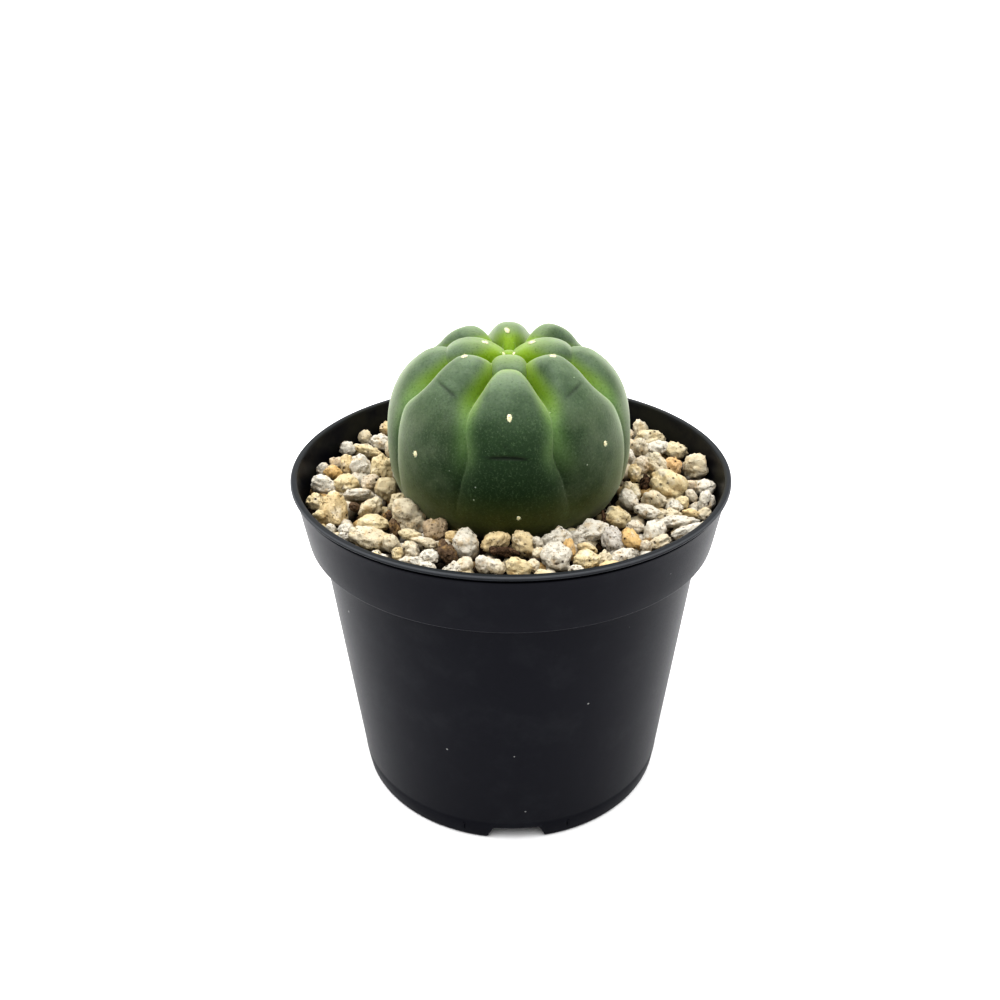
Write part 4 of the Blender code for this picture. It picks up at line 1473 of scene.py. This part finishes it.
@dataclass
class AreoleWool:
    """The cream wool pads on the ribs and at the growing point."""

    globe: CactusGlobe
    studio: Studio
    seen: tuple[SeenAreole, ...] = (
        SeenAreole(509.5, 418.0, 0.85 * MM, 0.52 * MM), SeenAreole(518.5, 518.0, 0.52 * MM, 0.42 * MM),
        SeenAreole(464.5, 356.5, 0.75 * MM, 0.62 * MM), SeenAreole(415.5, 454.0, 0.72 * MM, 0.52 * MM),
        SeenAreole(553.0, 356.0, 0.75 * MM, 0.60 * MM), SeenAreole(605.0, 443.5, 0.62 * MM, 0.42 * MM),
        SeenAreole(485.0, 342.5, 0.80 * MM, 0.60 * MM), SeenAreole(532.0, 342.5, 0.85 * MM, 0.60 * MM),
        SeenAreole(507.0, 330.5, 0.95 * MM, 0.52 * MM), SeenAreole(503.5, 354.0, 0.42 * MM, 0.40 * MM),
        SeenAreole(514.0, 354.0, 0.50 * MM, 0.42 * MM),
    )
    unseen: tuple[Areole, ...] = (
        Areole(2, 74.0, 14.0), Areole(6, 74.0, -14.0), Areole(3, 68.0), Areole(5, 68.0), Areole(4, 80.0),
    )
    rise: float = 0.26 * MM
    lumps: float = 0.20
    density: float = 3.2e7
    hair_length: float = 0.36 * MM
    lean: float = 0.9
    seed: int = 8

    def seen_place(self, skin: BVHTree, areole: SeenAreole) -> Matrix:
        """A frame on the skin where a line of sight meets it: Y up the rib and Z out of the skin.

        Args:
            skin: The finished body.
            areole: The pad.

        Returns:
            The frame as a 4 by 4 matrix.
        """
        eye, way = self.studio.ray(areole.x, areole.y)
        place, z_axis = skin.ray_cast(eye, way)[:2]
        pole = self.globe.heart + Vector((0.0, 0.0, 1.4 * self.globe.crown_rise))
        x_axis = (pole - place).cross(z_axis).normalized()
        return frame_matrix(x_axis, z_axis.cross(x_axis), z_axis, place)

    def pad(self, bm: BMesh, place: Matrix, long: float, wide: float) -> None:
        """Add one low, lumpy pad, half sunk in the skin.

        Args:
            bm: The bmesh that holds the pads.
            place: Its frame on the skin.
            long: Its half length along the rib.
            wide: Its half width.
        """
        shape = Matrix.Diagonal((wide, long, self.rise, 1.0))
        for vert in bmesh.ops.create_icosphere(bm, subdivisions=2, radius=1.0)["verts"]:
            vert.co *= 1.0 + self.lumps * noise.noise(vert.co * 2.2 + place.translation * 900.0)
            vert.co = place @ shape @ vert.co

    @staticmethod
    def hair() -> Object:
        """One hair of unit length: a bent three-sided spike along Z."""
        bm = bmesh.new()
        levels = ((0.0, 0.075, 0.0), (0.4, 0.06, 0.05), (0.75, 0.04, 0.17))
        rings = []
        for height, radius, bend in levels:
            ways = [(math.cos(math.tau * i / 3.0), math.sin(math.tau * i / 3.0)) for i in range(3)]
            rings.append([bm.verts.new((bend + radius * x, radius * y, height)) for x, y in ways])
        rings.append([bm.verts.new((0.32, 0.0, 1.0))])
        for lower, upper in zip(rings, rings[1:]):
            join_rings(bm, lower, upper)
        bm.faces.new(rings[0][::-1])
        return bpy.data.objects.new("wool_hair", mesh_from(bm))

    def build(self, body: Object, finish: Material) -> Object:
        """Build all the wool.

        Args:
            body: The body of the plant.
            finish: Material of the wool.

        Returns:
            The piece.
        """
        bm = bmesh.new()
        faces = [face.vertices for face in body.data.polygons]
        skin = BVHTree.FromPolygons([vert.co for vert in body.data.vertices], faces)
        for areole in self.seen:
            self.pad(bm, self.seen_place(skin, areole), areole.long, areole.wide)
        for areole in self.unseen:
            turn = self.globe.rib_azimuths()[areole.rib] + math.radians(areole.sideways)
            place = self.globe.frame_at(math.radians(areole.polar), turn)
            self.pad(bm, place, areole.long, areole.wide)
        host = add_object("areole_pads", mesh_from(bm))
        hair = self.hair()
        bpy.context.scene.collection.objects.link(hair)
        values = {"Hair": hair, "Density": self.density, "Length": self.hair_length, "Lean": self.lean}
        piece = grown(host, wool_tree(), values | {"Seed": self.seed, "Finish": finish}, "areole_wool")
        bpy.data.objects.remove(hair)
        return publish(piece, Slot.CACTUS)


@dataclass(frozen=True)
class Stone:
    """One granule at rest: its middle, its half sizes, its turn, its tone and the number of its shape."""

    place: Vector
    size: Vector
    turn: Vector
    tone: float
    kind: int

    @property
    def reach(self) -> float:
        """Its mean radius."""
        return (self.size.x + self.size.y + self.size.z) / 3.0


@dataclass(frozen=True)
class Shown:
    """A granule that the photo shows: middle, width and height in pixels, lean in degrees and tone."""

    x: float
    y: float
    wide: float
    tall: float
    lean: float
    tone: Tone


SHOWN = tuple(Shown(*row) for row in (
    # At the left.
    (384, 428, 14, 13, 0, Tone.TAN), (366, 437, 13, 15, 0, Tone.CREAM), (379, 442, 20, 15, -15, Tone.WHITE),
    (346, 448, 18, 14, -10, Tone.WHITE), (361, 447, 18, 7, 0, Tone.CREAM), (367, 452, 30, 11, -15, Tone.YELLOW),
    (336, 463, 13, 12, 0, Tone.GREY), (333, 473, 16, 14, 0, Tone.OCHRE), (347, 465, 13, 20, 0, Tone.TAN),
    (361, 468, 19, 24, 0, Tone.WHITE), (382, 468, 21, 27, -25, Tone.YELLOW), (321, 469, 15, 13, -50, Tone.WHITE),
    (322, 485, 31, 18, -20, Tone.WHITE), (347, 484, 27, 18, 0, Tone.YELLOW), (370, 484, 16, 14, 20, Tone.GREY),
    (386, 492, 25, 23, 0, Tone.BEIGE), (357, 496, 31, 12, 5, Tone.WHITE), (314, 502, 18, 16, 0, Tone.YELLOW),
    (335, 511, 26, 35, 10, Tone.TAN), (320, 516, 17, 13, 0, Tone.YELLOW), (369, 509, 26, 17, 35, Tone.BEIGE),
    (354, 508, 10, 11, 30, Tone.SCORIA), (395, 503, 18, 14, 40, Tone.BEIGE), (387, 515, 9, 9, 0, Tone.SCORIA),
    (374, 524, 34, 17, -5, Tone.YELLOW), (370, 541, 42, 22, -22, Tone.CREAM), (348, 529, 16, 13, 0, Tone.WHITE),
    (343, 537, 13, 9, 0, Tone.WHITE), (409, 516, 35, 27, -20, Tone.CREAM), (395, 528, 11, 16, 0, Tone.SCORIA),
    # In front.
    (391, 546, 17, 19, 15, Tone.CREAM), (409, 535, 22, 11, -10, Tone.BEIGE), (409, 550, 21, 17, -40, Tone.CREAM),
    (398, 555, 11, 11, 0, Tone.YELLOW), (435, 530, 24, 23, 0, Tone.BROWN), (452, 537, 14, 12, 0, Tone.TAN),
    (424, 543, 32, 13, -18, Tone.CREAM), (429, 557, 19, 14, 0, Tone.WHITE), (411, 562, 20, 12, 0, Tone.WHITE),
    (427, 568, 16, 11, 0, Tone.WHITE), (446, 555, 17, 19, 40, Tone.SCORIA), (444, 546, 10, 13, 0, Tone.SCORIA),
    (451, 569, 16, 14, 0, Tone.WHITE), (466, 544, 28, 28, 0, Tone.WHITE), (467, 566, 16, 18, 0, Tone.CREAM),
    (482, 564, 19, 16, 0, Tone.WHITE), (493, 544, 29, 19, 35, Tone.TAN), (505, 552, 28, 10, -8, Tone.BARK),
    (496, 568, 17, 15, 0, Tone.CREAM), (515, 568, 26, 20, 0, Tone.YELLOW), (521, 543, 30, 22, -45, Tone.TAN),
    (535, 543, 16, 12, -20, Tone.GREY), (538, 554, 11, 11, 0, Tone.CREAM), (533, 566, 12, 13, 0, Tone.CREAM),
    (555, 538, 24, 20, 0, Tone.WHITE), (555, 558, 30, 29, 0, Tone.WHITE), (570, 551, 11, 18, 10, Tone.OCHRE),
    (585, 533, 35, 22, 12, Tone.WHITE), (585, 548, 20, 10, -8, Tone.YELLOW), (587, 560, 28, 18, 0, Tone.YELLOW),
    (602, 558, 14, 14, 0, Tone.CREAM), (576, 571, 16, 12, 0, Tone.WHITE),
    # At the right.
    (614, 539, 21, 29, 25, Tone.SPECKLED), (618, 517, 24, 20, 0, Tone.YELLOW), (622, 557, 25, 14, 22, Tone.WHITE),
    (632, 541, 25, 17, -40, Tone.OCHRE), (604, 519, 5, 16, 10, Tone.BARK), (641, 429, 15, 19, 0, Tone.CREAM),
    (661, 435, 30, 16, 5, Tone.BEIGE), (640, 449, 16, 21, 0, Tone.CREAM), (657, 449, 22, 15, 15, Tone.WHITE),
    (677, 451, 22, 17, 0, Tone.BEIGE), (641, 466, 19, 18, -30, Tone.GREY), (634, 474, 13, 18, 0, Tone.TAN),
    (658, 466, 30, 17, -50, Tone.CREAM), (672, 467, 18, 18, 0, Tone.PEACH), (696, 468, 28, 28, -30, Tone.CREAM),
    (668, 488, 37, 24, -28, Tone.YELLOW), (646, 484, 13, 17, 0, Tone.BARK), (690, 487, 14, 13, 0, Tone.GREY),
    (691, 497, 11, 13, 0, Tone.GREY), (706, 488, 22, 16, 15, Tone.WHITE), (630, 488, 14, 12, 0, Tone.TAN),
    (635, 495, 12, 17, -20, Tone.BEIGE), (630, 501, 24, 16, -42, Tone.WHITE), (652, 499, 25, 18, -22, Tone.CREAM),
    (646, 512, 27, 14, -12, Tone.WHITE), (666, 514, 22, 11, -5, Tone.CREAM), (673, 507, 16, 12, 10, Tone.WHITE),
    (683, 502, 13, 13, 0, Tone.YELLOW), (704, 502, 17, 22, -20, Tone.WHITE), (690, 514, 22, 11, -15, Tone.TAN),
    (676, 523, 38, 13, 6, Tone.WHITE), (654, 533, 22, 25, -15, Tone.WHITE), (636, 527, 20, 12, -10, Tone.GREY),
    (645, 548, 12, 13, 0, Tone.GREY), (661, 543, 21, 11, 22, Tone.CREAM), (704, 514, 15, 11, 20, Tone.CREAM),
    (682, 533, 32, 11, 25, Tone.WHITE),
))


@dataclass
class Granule:
    """The shapes of the granules: knobs grown together, with chipped corners, ridges, grit and pits.

    All is in radii of the granule. A ripple is its height, and how many times it repeats along a radius.
    """

    knob_count: int = 5
    knob_offsets: Span = (0.26, 0.46)
    knob_sizes: Span = (0.50, 0.70)
    knob_blend: float = 0.07
    chip_count: int = 5
    chip_cuts: Span = (0.74, 0.95)
    chip_blend: float = 0.09
    pit_count: int = 16
    pit_widths: Span = (0.09, 0.20)
    pit_depths: Span = (0.10, 0.24)
    lump: Ripple = (0.16, 2.6)
    ridge: Ripple = (0.09, 5.5)
    grit: Ripple = (0.075, 9.0)
    mean_radius: float = 1.02
    seed: int = 2300

    def shape(self, index: int, detail: int) -> Object:
        """One granule of about unit radius.

        Args:
            index: Number of the shape, which also seeds it.
            detail: Subdivisions of the ball that it starts from.

        Returns:
            The granule.
        """
        draw = random.Random(self.seed + index)
        bm = bmesh.new()
        bmesh.ops.create_icosphere(bm, subdivisions=detail, radius=1.0)
        knobs = [
            (self.random_way(draw) * draw.uniform(*self.knob_offsets), draw.uniform(*self.knob_sizes))
            for _ in range(self.knob_count)
        ]
        chips = [(self.random_way(draw), draw.uniform(*self.chip_cuts)) for _ in range(self.chip_count)]
        pits = [
            (self.random_way(draw), draw.uniform(*self.pit_widths), draw.uniform(*self.pit_depths))
            for _ in range(self.pit_count)
        ]
        offset = Vector([draw.uniform(0.0, NOISE_SHIFT) for _ in range(3)])
        for vert in bm.verts:
            way = vert.co.normalized()
            swell = sum(math.exp(self.knob_reach(way, *knob) / self.knob_blend) for knob in knobs)
            cuts = [self.knob_blend * math.log(swell), *(cut / max(way.dot(normal), 0.05) for normal, cut in chips)]
            reach = -self.chip_blend * math.log(sum(math.exp(-cut / self.chip_blend) for cut in cuts))
            lump = self.lump[0] * noise.noise(way * self.lump[1] + offset)
            ridge = self.ridge[0] * abs(noise.noise(way * self.ridge[1] - offset))
            reach += lump + ridge
            reach += self.grit[0] * noise.noise(way * self.grit[1] + offset)
            for middle, width, depth in pits:
                reach -= depth * math.exp(-(((way - middle).length / width) ** 2))
            vert.co = way * reach
        mean = sum(vert.co.length for vert in bm.verts) / len(bm.verts)
        bmesh.ops.scale(bm, verts=bm.verts[:], vec=Vector((1.0, 1.0, 1.0)) * self.mean_radius / mean)
        return bpy.data.objects.new(f"granule_shape_{index:02d}", mesh_from(bm, 180.0))

    @staticmethod
    def knob_reach(way: Vector, centre: Vector, radius: float) -> float:
        """How far the surface of a ball that holds the granule's middle lies along a direction."""
        along = way.dot(centre)
        return along + math.sqrt(along**2 + radius**2 - centre.length_squared)

    @staticmethod
    def random_way(draw: random.Random) -> Vector:
        """A direction drawn evenly from all round."""
        height = draw.uniform(-1.0, 1.0)
        turn = draw.uniform(0.0, math.tau)
        flat = math.sqrt(1.0 - height * height)
        return Vector((flat * math.cos(turn), flat * math.sin(turn), height))


@dataclass
class PumiceDressing:
    """Granules: a lower layer, those that the photo shows, and more round them, each dropped to a low free place."""

    studio: Studio
    globe: CactusGlobe
    pot: NurseryPot
    bed: float = 70.4 * MM
    top_at_wall: float = 76.0 * MM
    top_at_plant: float = 77.6 * MM
    lower_gap: float = 2.9 * MM
    middle_depth: float = 2.1 * MM
    lower_count: int = 640
    upper_count: int = 460
    tries: int = 30
    sighting_rounds: int = 4
    sizes: Span = (1.4 * MM, 3.3 * MM)
    size_draw: Span = (2.0, 2.2)
    small_sizes: Span = (0.6, 1.1)
    large_share: float = 0.7
    stretches: Span = (0.85, 1.15)
    packing: float = 0.88
    plant_gap: float = 0.80
    wall_gap: float = 0.85
    cover: float = 0.72
    unevenness: Span = (-0.4, 0.4)
    tone_spread: float = 0.03
    kinds: int = 24
    tones: tuple[Tone, ...] = (
        Tone.WHITE, Tone.WHITE, Tone.CREAM, Tone.CREAM, Tone.BEIGE, Tone.YELLOW, Tone.TAN, Tone.OCHRE, Tone.GREY,
    )
    seed: int = 23

    def top_limit(self, radius: float) -> float:
        """How high the dressing reaches at a radius."""
        inner = self.globe.foot_radius(self.top_at_plant)
        share = np.clip((radius - inner) / (self.pot.bore_radius(self.top_at_wall) - inner), 0.0, 1.0)
        return self.top_at_plant + (self.top_at_wall - self.top_at_plant) * float(share)

    def clear_of_plant(self, x: float, y: float, height: float, size: float) -> bool:
        """Whether a granule at a place keeps out of the plant."""
        centre = self.globe.heart
        radius = math.hypot(x - centre.x, y - centre.y)
        reach = math.hypot(radius, height - centre.z)
        polar = math.atan2(radius, height - centre.z)
        return reach > float(self.globe.crest_reach(np.array(polar))) + self.plant_gap * size

    def leading(self, draw: random.Random) -> list[Stone]:
        """Set the granules that the photo shows on the bed, each on its line of sight.

        Args:
            draw: The seeded source of chance.

        Returns:
            The granules.
        """
        stones = []
        for shown in SHOWN:
            eye, way = self.studio.ray(shown.x, shown.y)
            height = self.top_at_wall - self.middle_depth
            for _ in range(self.sighting_rounds):
                place = eye + way * ((height - eye.z) / way.z)
                height = self.top_limit(math.hypot(place.x, place.y)) - self.middle_depth
            pixel = self.studio.on_photo(place)[2]
            deep = 0.45 * (shown.wide + shown.tall)
            size = Vector((shown.wide, shown.tall, deep)) * 0.5 * pixel
            turn = self.studio.turn() @ Matrix.Rotation(math.radians(shown.lean), 3, "Z")
            place = self.off_wall(place, size, turn)
            vary = self.tone_spread if shown.tone.value < Tone.BROWN.value else 0.0
            tone = shown.tone.value + draw.uniform(-vary, vary)
            stones.append(Stone(place, size, Vector(turn.to_euler()), tone, draw.randrange(self.kinds)))
        return stones

    def off_wall(self, place: Vector, size: Vector, turn: Matrix) -> Vector:
        """Draw a granule in from the pot's wall as far as its own reach asks.

        Args:
            place: Its middle.
            size: Its half sizes.
            turn: Its turn.

        Returns:
            The new middle.
        """
        outward = Vector((place.x, place.y, 0.0)).normalized()
        along = turn.transposed() @ outward
        reach = Vector((along.x * size.x, along.y * size.y, along.z * size.z)).length
        radius = math.hypot(place.x, place.y)
        return place - outward * max(0.0, radius + self.wall_gap * reach - self.pot.bore_radius(place.z))

    def hides_shown(self, place: Vector, size: float) -> bool:
        """Whether a granule would cover one that the photo shows."""
        x, y, pixel = self.studio.on_photo(place)
        spread = 1.1 * size / pixel
        for shown in SHOWN:
            across = (x - shown.x) / (0.5 * shown.wide + spread)
            down = (y - shown.y) / (0.5 * shown.tall + spread)
            if across * across + down * down < self.cover:
                return True
        return False

    def lowest_place(self, placed: np.ndarray, size: float, lift: float, draw: random.Random) -> Vector | None:
        """Try several places at random and keep the lowest.

        Args:
            placed: Rows of x, y, z and size of the granules that lie already.
            size: Radius of the new granule.
            lift: How much higher than the dressing's top it may reach.
            draw: The seeded source of chance.

        Returns:
            The middle of the granule, or None if every place is too high or taken.
        """
        best = None
        inner = self.globe.foot_radius(self.bed) + 0.4 * size
        outer = self.pot.bore_radius(self.bed) - size
        for _ in range(self.tries):
            radius = math.sqrt(draw.uniform(inner**2, outer**2))
            turn = draw.uniform(0.0, math.tau)
            x, y = radius * math.cos(turn), radius * math.sin(turn)
            height = self.bed + 0.75 * size
            if len(placed):
                reach = (placed[:, 3] + size) * self.packing
                gap = reach**2 - (placed[:, 0] - x) ** 2 - (placed[:, 1] - y) ** 2
                under = gap > 0.0
                if under.any():
                    height = max(height, float((placed[under, 2] + np.sqrt(gap[under])).max()))
            if height + 0.8 * size > self.top_limit(radius) + lift + draw.uniform(*self.unevenness) * MM:
                continue
            if best is None or height < best.z:
                if self.clear_of_plant(x, y, height, size):
                    best = Vector((x, y, height))
        return best

    def dropped(self, stones: list[Stone], count: int, lift: float, draw: random.Random) -> list[Stone]:
        """Drop granules at random among those that lie already, the small ones last.

        Args:
            stones: The granules that lie already.
            count: How many to drop.
            lift: How much higher than the dressing's top they may reach.
            draw: The seeded source of chance.

        Returns:
            The new granules at rest.
        """
        placed = np.array([[*stone.place, stone.reach] for stone in stones]).reshape(-1, 4)
        made = []
        low, high = self.sizes
        for index in range(count):
            size = low + (high - low) * draw.betavariate(*self.size_draw)
            if index > self.large_share * count:
                size = low * draw.uniform(*self.small_sizes)
            place = self.lowest_place(placed, size, lift, draw)
            tone = draw.choice(self.tones).value + draw.uniform(-self.tone_spread, self.tone_spread)
            kind = draw.randrange(self.kinds)
            stretch = draw.uniform(*self.stretches)
            if place is None or (lift > -self.middle_depth and self.hides_shown(place, size)):
                continue
            placed = np.vstack([placed, [*place, size]])
            shape = Vector((size * stretch, size, size / stretch))
            made.append(Stone(place, shape, Vector((draw.uniform(0.0, math.tau), 0.0, 0.0)), tone, kind))
        return made

    def build(self, pumice: Material, bark: Material, tree: NodeTree) -> None:
        """Build the granules and the bits of bark among them.

        Args:
            pumice: Material of the granules.
            bark: Material of the bark.
            tree: The Geometry Nodes that set shapes on points.
        """
        draw = random.Random(self.seed)
        leading = self.leading(draw)
        lower = self.dropped([], self.lower_count, -self.lower_gap, draw)
        upper = self.dropped(leading + lower, self.upper_count, 0.3 * MM, draw)
        LOG.info("%d granules shown, %d round them and %d under them", len(leading), len(upper), len(lower))
        granule = Granule()
        fine, medium, plain = ([granule.shape(i, detail) for i in range(self.kinds)] for detail in (4, 3, 2))
        flake_shapes = [crumb_shape(20 + i, 1.0, 3) for i in range(self.kinds)]
        shown = [stone for stone in leading if stone.tone > 0.5 * Tone.BARK.value]
        flakes = [stone for stone in leading if stone.tone < 0.5 * Tone.BARK.value]
        layers = (
            ("pumice_granules", shown, fine, pumice, 0.0, Slot.DRESSING),
            ("pumice_between", upper, medium, pumice, 1.0, Slot.DRESSING),
            ("pumice_lower_layer", lower, plain, pumice, 1.0, Slot.DRESSING),
            ("bark_bits", flakes, flake_shapes, bark, 0.0, Slot.MIX),
        )
        for name, stones, shapes, finish, spin, slot in layers:
            piece = scatter(name, stones, shapes, finish, tree, self.seed, spin)
            publish(keep_in_pot(piece, self.pot), slot, replaces=name == "pumice_granules")


def crumb_shape(index: int, long: float, detail: int) -> Object:
    """A rough crumb or a bit of bark with few faces.

    Args:
        index: Number of the shape, which also seeds it.
        long: Its stretch along one axis.
        detail: Subdivisions of the ball that it starts from.

    Returns:
        The shape, of about unit radius.
    """
    draw = random.Random(CRUMB_SEED + index)
    bm = bmesh.new()
    bmesh.ops.create_icosphere(bm, subdivisions=detail, radius=1.0)
    offset = Vector((draw.uniform(0.0, NOISE_SHIFT), draw.uniform(0.0, NOISE_SHIFT), 0.0))
    for vert in bm.verts:
        way = vert.co.copy()
        vert.co *= 1.0 + 0.40 * noise.noise(way * 1.4 + offset) + 0.35 * noise.noise(way * 4.0 + offset)
        vert.co.x *= long
    return bpy.data.objects.new(f"crumb_shape_{index:02d}", mesh_from(bm, 180.0))


def keep_in_pot(piece: Object, pot: NurseryPot) -> Object:
    """Flatten what lies against the pot, so that nothing reaches into its wall.

    Args:
        piece: Granules or crumbs.
        pot: The pot that holds them.

    Returns:
        The same piece.
    """
    places = np.empty(3 * len(piece.data.vertices))
    piece.data.vertices.foreach_get("co", places)
    places = places.reshape(-1, 3)
    gap = 0.12 * MM
    heights = np.linspace(pot.band_foot_height, pot.height, 60)
    bores = [pot.bore_radius(float(height)) for height in heights]
    limit = np.interp(places[:, 2], heights, bores) - gap
    radius = np.hypot(places[:, 0], places[:, 1])
    places[:, :2] *= np.minimum(1.0, limit / np.maximum(radius, 1.0 * MM))[:, None]
    piece.data.vertices.foreach_set("co", places.ravel())
    piece.data.update()
    return piece


def scatter(
    name: str,
    stones: list[Stone],
    shapes: list[Object],
    finish: Material,
    tree: NodeTree,
    seed: int,
    spin: float,
) -> Object:
    """Set shapes on their places with Geometry Nodes and turn them into one plain mesh.

    Args:
        name: Name of the piece.
        stones: Places, sizes, turns, tones and kinds.
        shapes: The shapes that the kinds number, which are removed afterwards.
        finish: Their material.
        tree: The Geometry Nodes.
        seed: Seed of the chance turns.
        spin: Share of a whole turn that chance may add to each stone's own turn.

    Returns:
        The piece.
    """
    store = bpy.data.collections.new(name + "_shapes")
    bpy.context.scene.collection.children.link(store)
    for shape in shapes:
        store.objects.link(shape)
    mesh = bpy.data.meshes.new(name)
    mesh.from_pydata([stone.place for stone in stones], [], [])
    carried = {
        "stone_size": ("FLOAT_VECTOR", "vector", [value for stone in stones for value in stone.size]),
        "stone_turn": ("FLOAT_VECTOR", "vector", [value for stone in stones for value in stone.turn]),
        "stone_tone": ("FLOAT", "value", [stone.tone for stone in stones]),
        "stone_kind": ("INT", "value", [stone.kind for stone in stones]),
    }
    for label, (data_type, field_name, values) in carried.items():
        mesh.attributes.new(label, data_type, "POINT").data.foreach_set(field_name, values)
    host = add_object(name, mesh)
    values = {"Shapes": store, "Scale": 1.0, "Spin": spin, "Seed": seed, "Finish": finish}
    piece = grown(host, tree, values, name)
    for shape in list(store.objects):
        bpy.data.objects.remove(shape)
    bpy.data.collections.remove(store)
    return piece


@dataclass
class SoilSurface:
    """The rough top of the potting mix, and the crumbs that lie on it."""

    globe: CactusGlobe
    pot: NurseryPot
    level: float = 70.35 * MM
    thickness: float = 0.2 * MM
    relief: float = 0.5 * MM
    relief_rates: Span = (420.0, 1100.0)
    rings: int = 26
    columns: int = 220
    crumb_count: int = 420
    crumb_kinds: int = 6
    crumb_sizes: Span = (0.45 * MM, 1.1 * MM)
    crumb_heights: Span = (0.1, 2.6)
    crumb_form: tuple[float, float, float] = (1.0, 0.75, 0.6)
    seed: int = 41

    def surface(self, finish: Material) -> Object:
        """The uneven ring of soil between the plant and the pot.

        Args:
            finish: Material of the soil.

        Returns:
            The piece.
        """
        inner = self.globe.foot_radius(self.level) + 0.15 * MM
        outer = self.pot.bore_radius(self.level) - 0.35 * MM
        bm = bmesh.new()
        rings = []
        for radius in np.linspace(inner, outer, self.rings):
            ring = []
            for i in range(self.columns):
                turn = math.tau * i / self.columns
                x, y = float(radius) * math.cos(turn), float(radius) * math.sin(turn)
                coarse, fine = (Vector((x, y, level)) * rate for level, rate in enumerate(self.relief_rates))
                lift = noise.noise(coarse) + 0.5 * noise.noise(fine)
                ring.append(bm.verts.new((x, y, self.level + self.relief * lift)))
            rings.append(ring)
        base = self.level - self.thickness
        under = [[bm.verts.new((v.co.x, v.co.y, base)) for v in ring] for ring in (rings[0], rings[-1])]
        for lower, upper in zip(rings, rings[1:]):
            join_rings(bm, lower, upper)
        join_rings(bm, rings[-1], under[1])
        join_rings(bm, under[1], under[0])
        join_rings(bm, under[0], rings[0])
        return publish(add_object("soil_surface", mesh_from(bm, 180.0), finish), Slot.MIX)

    def crumbs(self, finish: Material, tree: NodeTree) -> Object:
        """Small crumbs that lie on the soil between the granules."""
        draw = random.Random(self.seed)
        inner = self.globe.foot_radius(self.level + 2.0 * MM) + 0.6 * MM
        outer = self.pot.bore_radius(self.level) - 1.2 * MM
        stones = []
        for _ in range(self.crumb_count):
            radius = math.sqrt(draw.uniform(inner**2, outer**2))
            turn = draw.uniform(0.0, math.tau)
            height = self.level + draw.uniform(*self.crumb_heights) * MM
            place = Vector((radius * math.cos(turn), radius * math.sin(turn), height))
            size = draw.uniform(*self.crumb_sizes)
            form = Vector([share * size for share in self.crumb_form])
            stones.append(Stone(place, form, Vector(), 0.0, draw.randrange(self.crumb_kinds)))
        shapes = [crumb_shape(i, 1.2, 2) for i in range(self.crumb_kinds)]
        piece = scatter("soil_crumbs", stones, shapes, finish, tree, self.seed, 1.0)
        return publish(keep_in_pot(piece, self.pot), Slot.MIX)


def dress_node(node: str, material: Material) -> None:
    """Give a CAD node that stays in view its finish.

    Args:
        node: Name of the node.
        material: Its new material.
    """
    mesh = frame["nodes"][node].data
    mesh.materials.clear()
    mesh.materials.append(material)


def main() -> None:
    """Build the studio and every piece of the potted cactus."""
    logging.basicConfig(level=logging.INFO, format="%(name)s: %(message)s")
    studio = Studio()
    studio.build()
    effects = Effects()
    soil = DarkMix().material(effects)
    bark = DarkMix("bark", (0.024, 0.014, 0.009), (0.34, 0.22, 0.14), 3.0, 1.2 * MM).material(effects)
    pot = NurseryPot()
    globe = CactusGlobe()
    tree = placing_tree()
    pot.build(SatinPlastic().material(effects))
    dress_node(Slot.MIX.value, soil)
    ground = SoilSurface(globe, pot)
    ground.surface(soil)
    ground.crumbs(soil, tree)
    PumiceDressing(studio, globe, pot).build(Pumice().material(effects), bark, tree)
    body = globe.build(CactusSkin().material(effects))
    AreoleWool(globe, studio).build(body, Wool().material(effects))


if __name__ == "__main__":
    main()
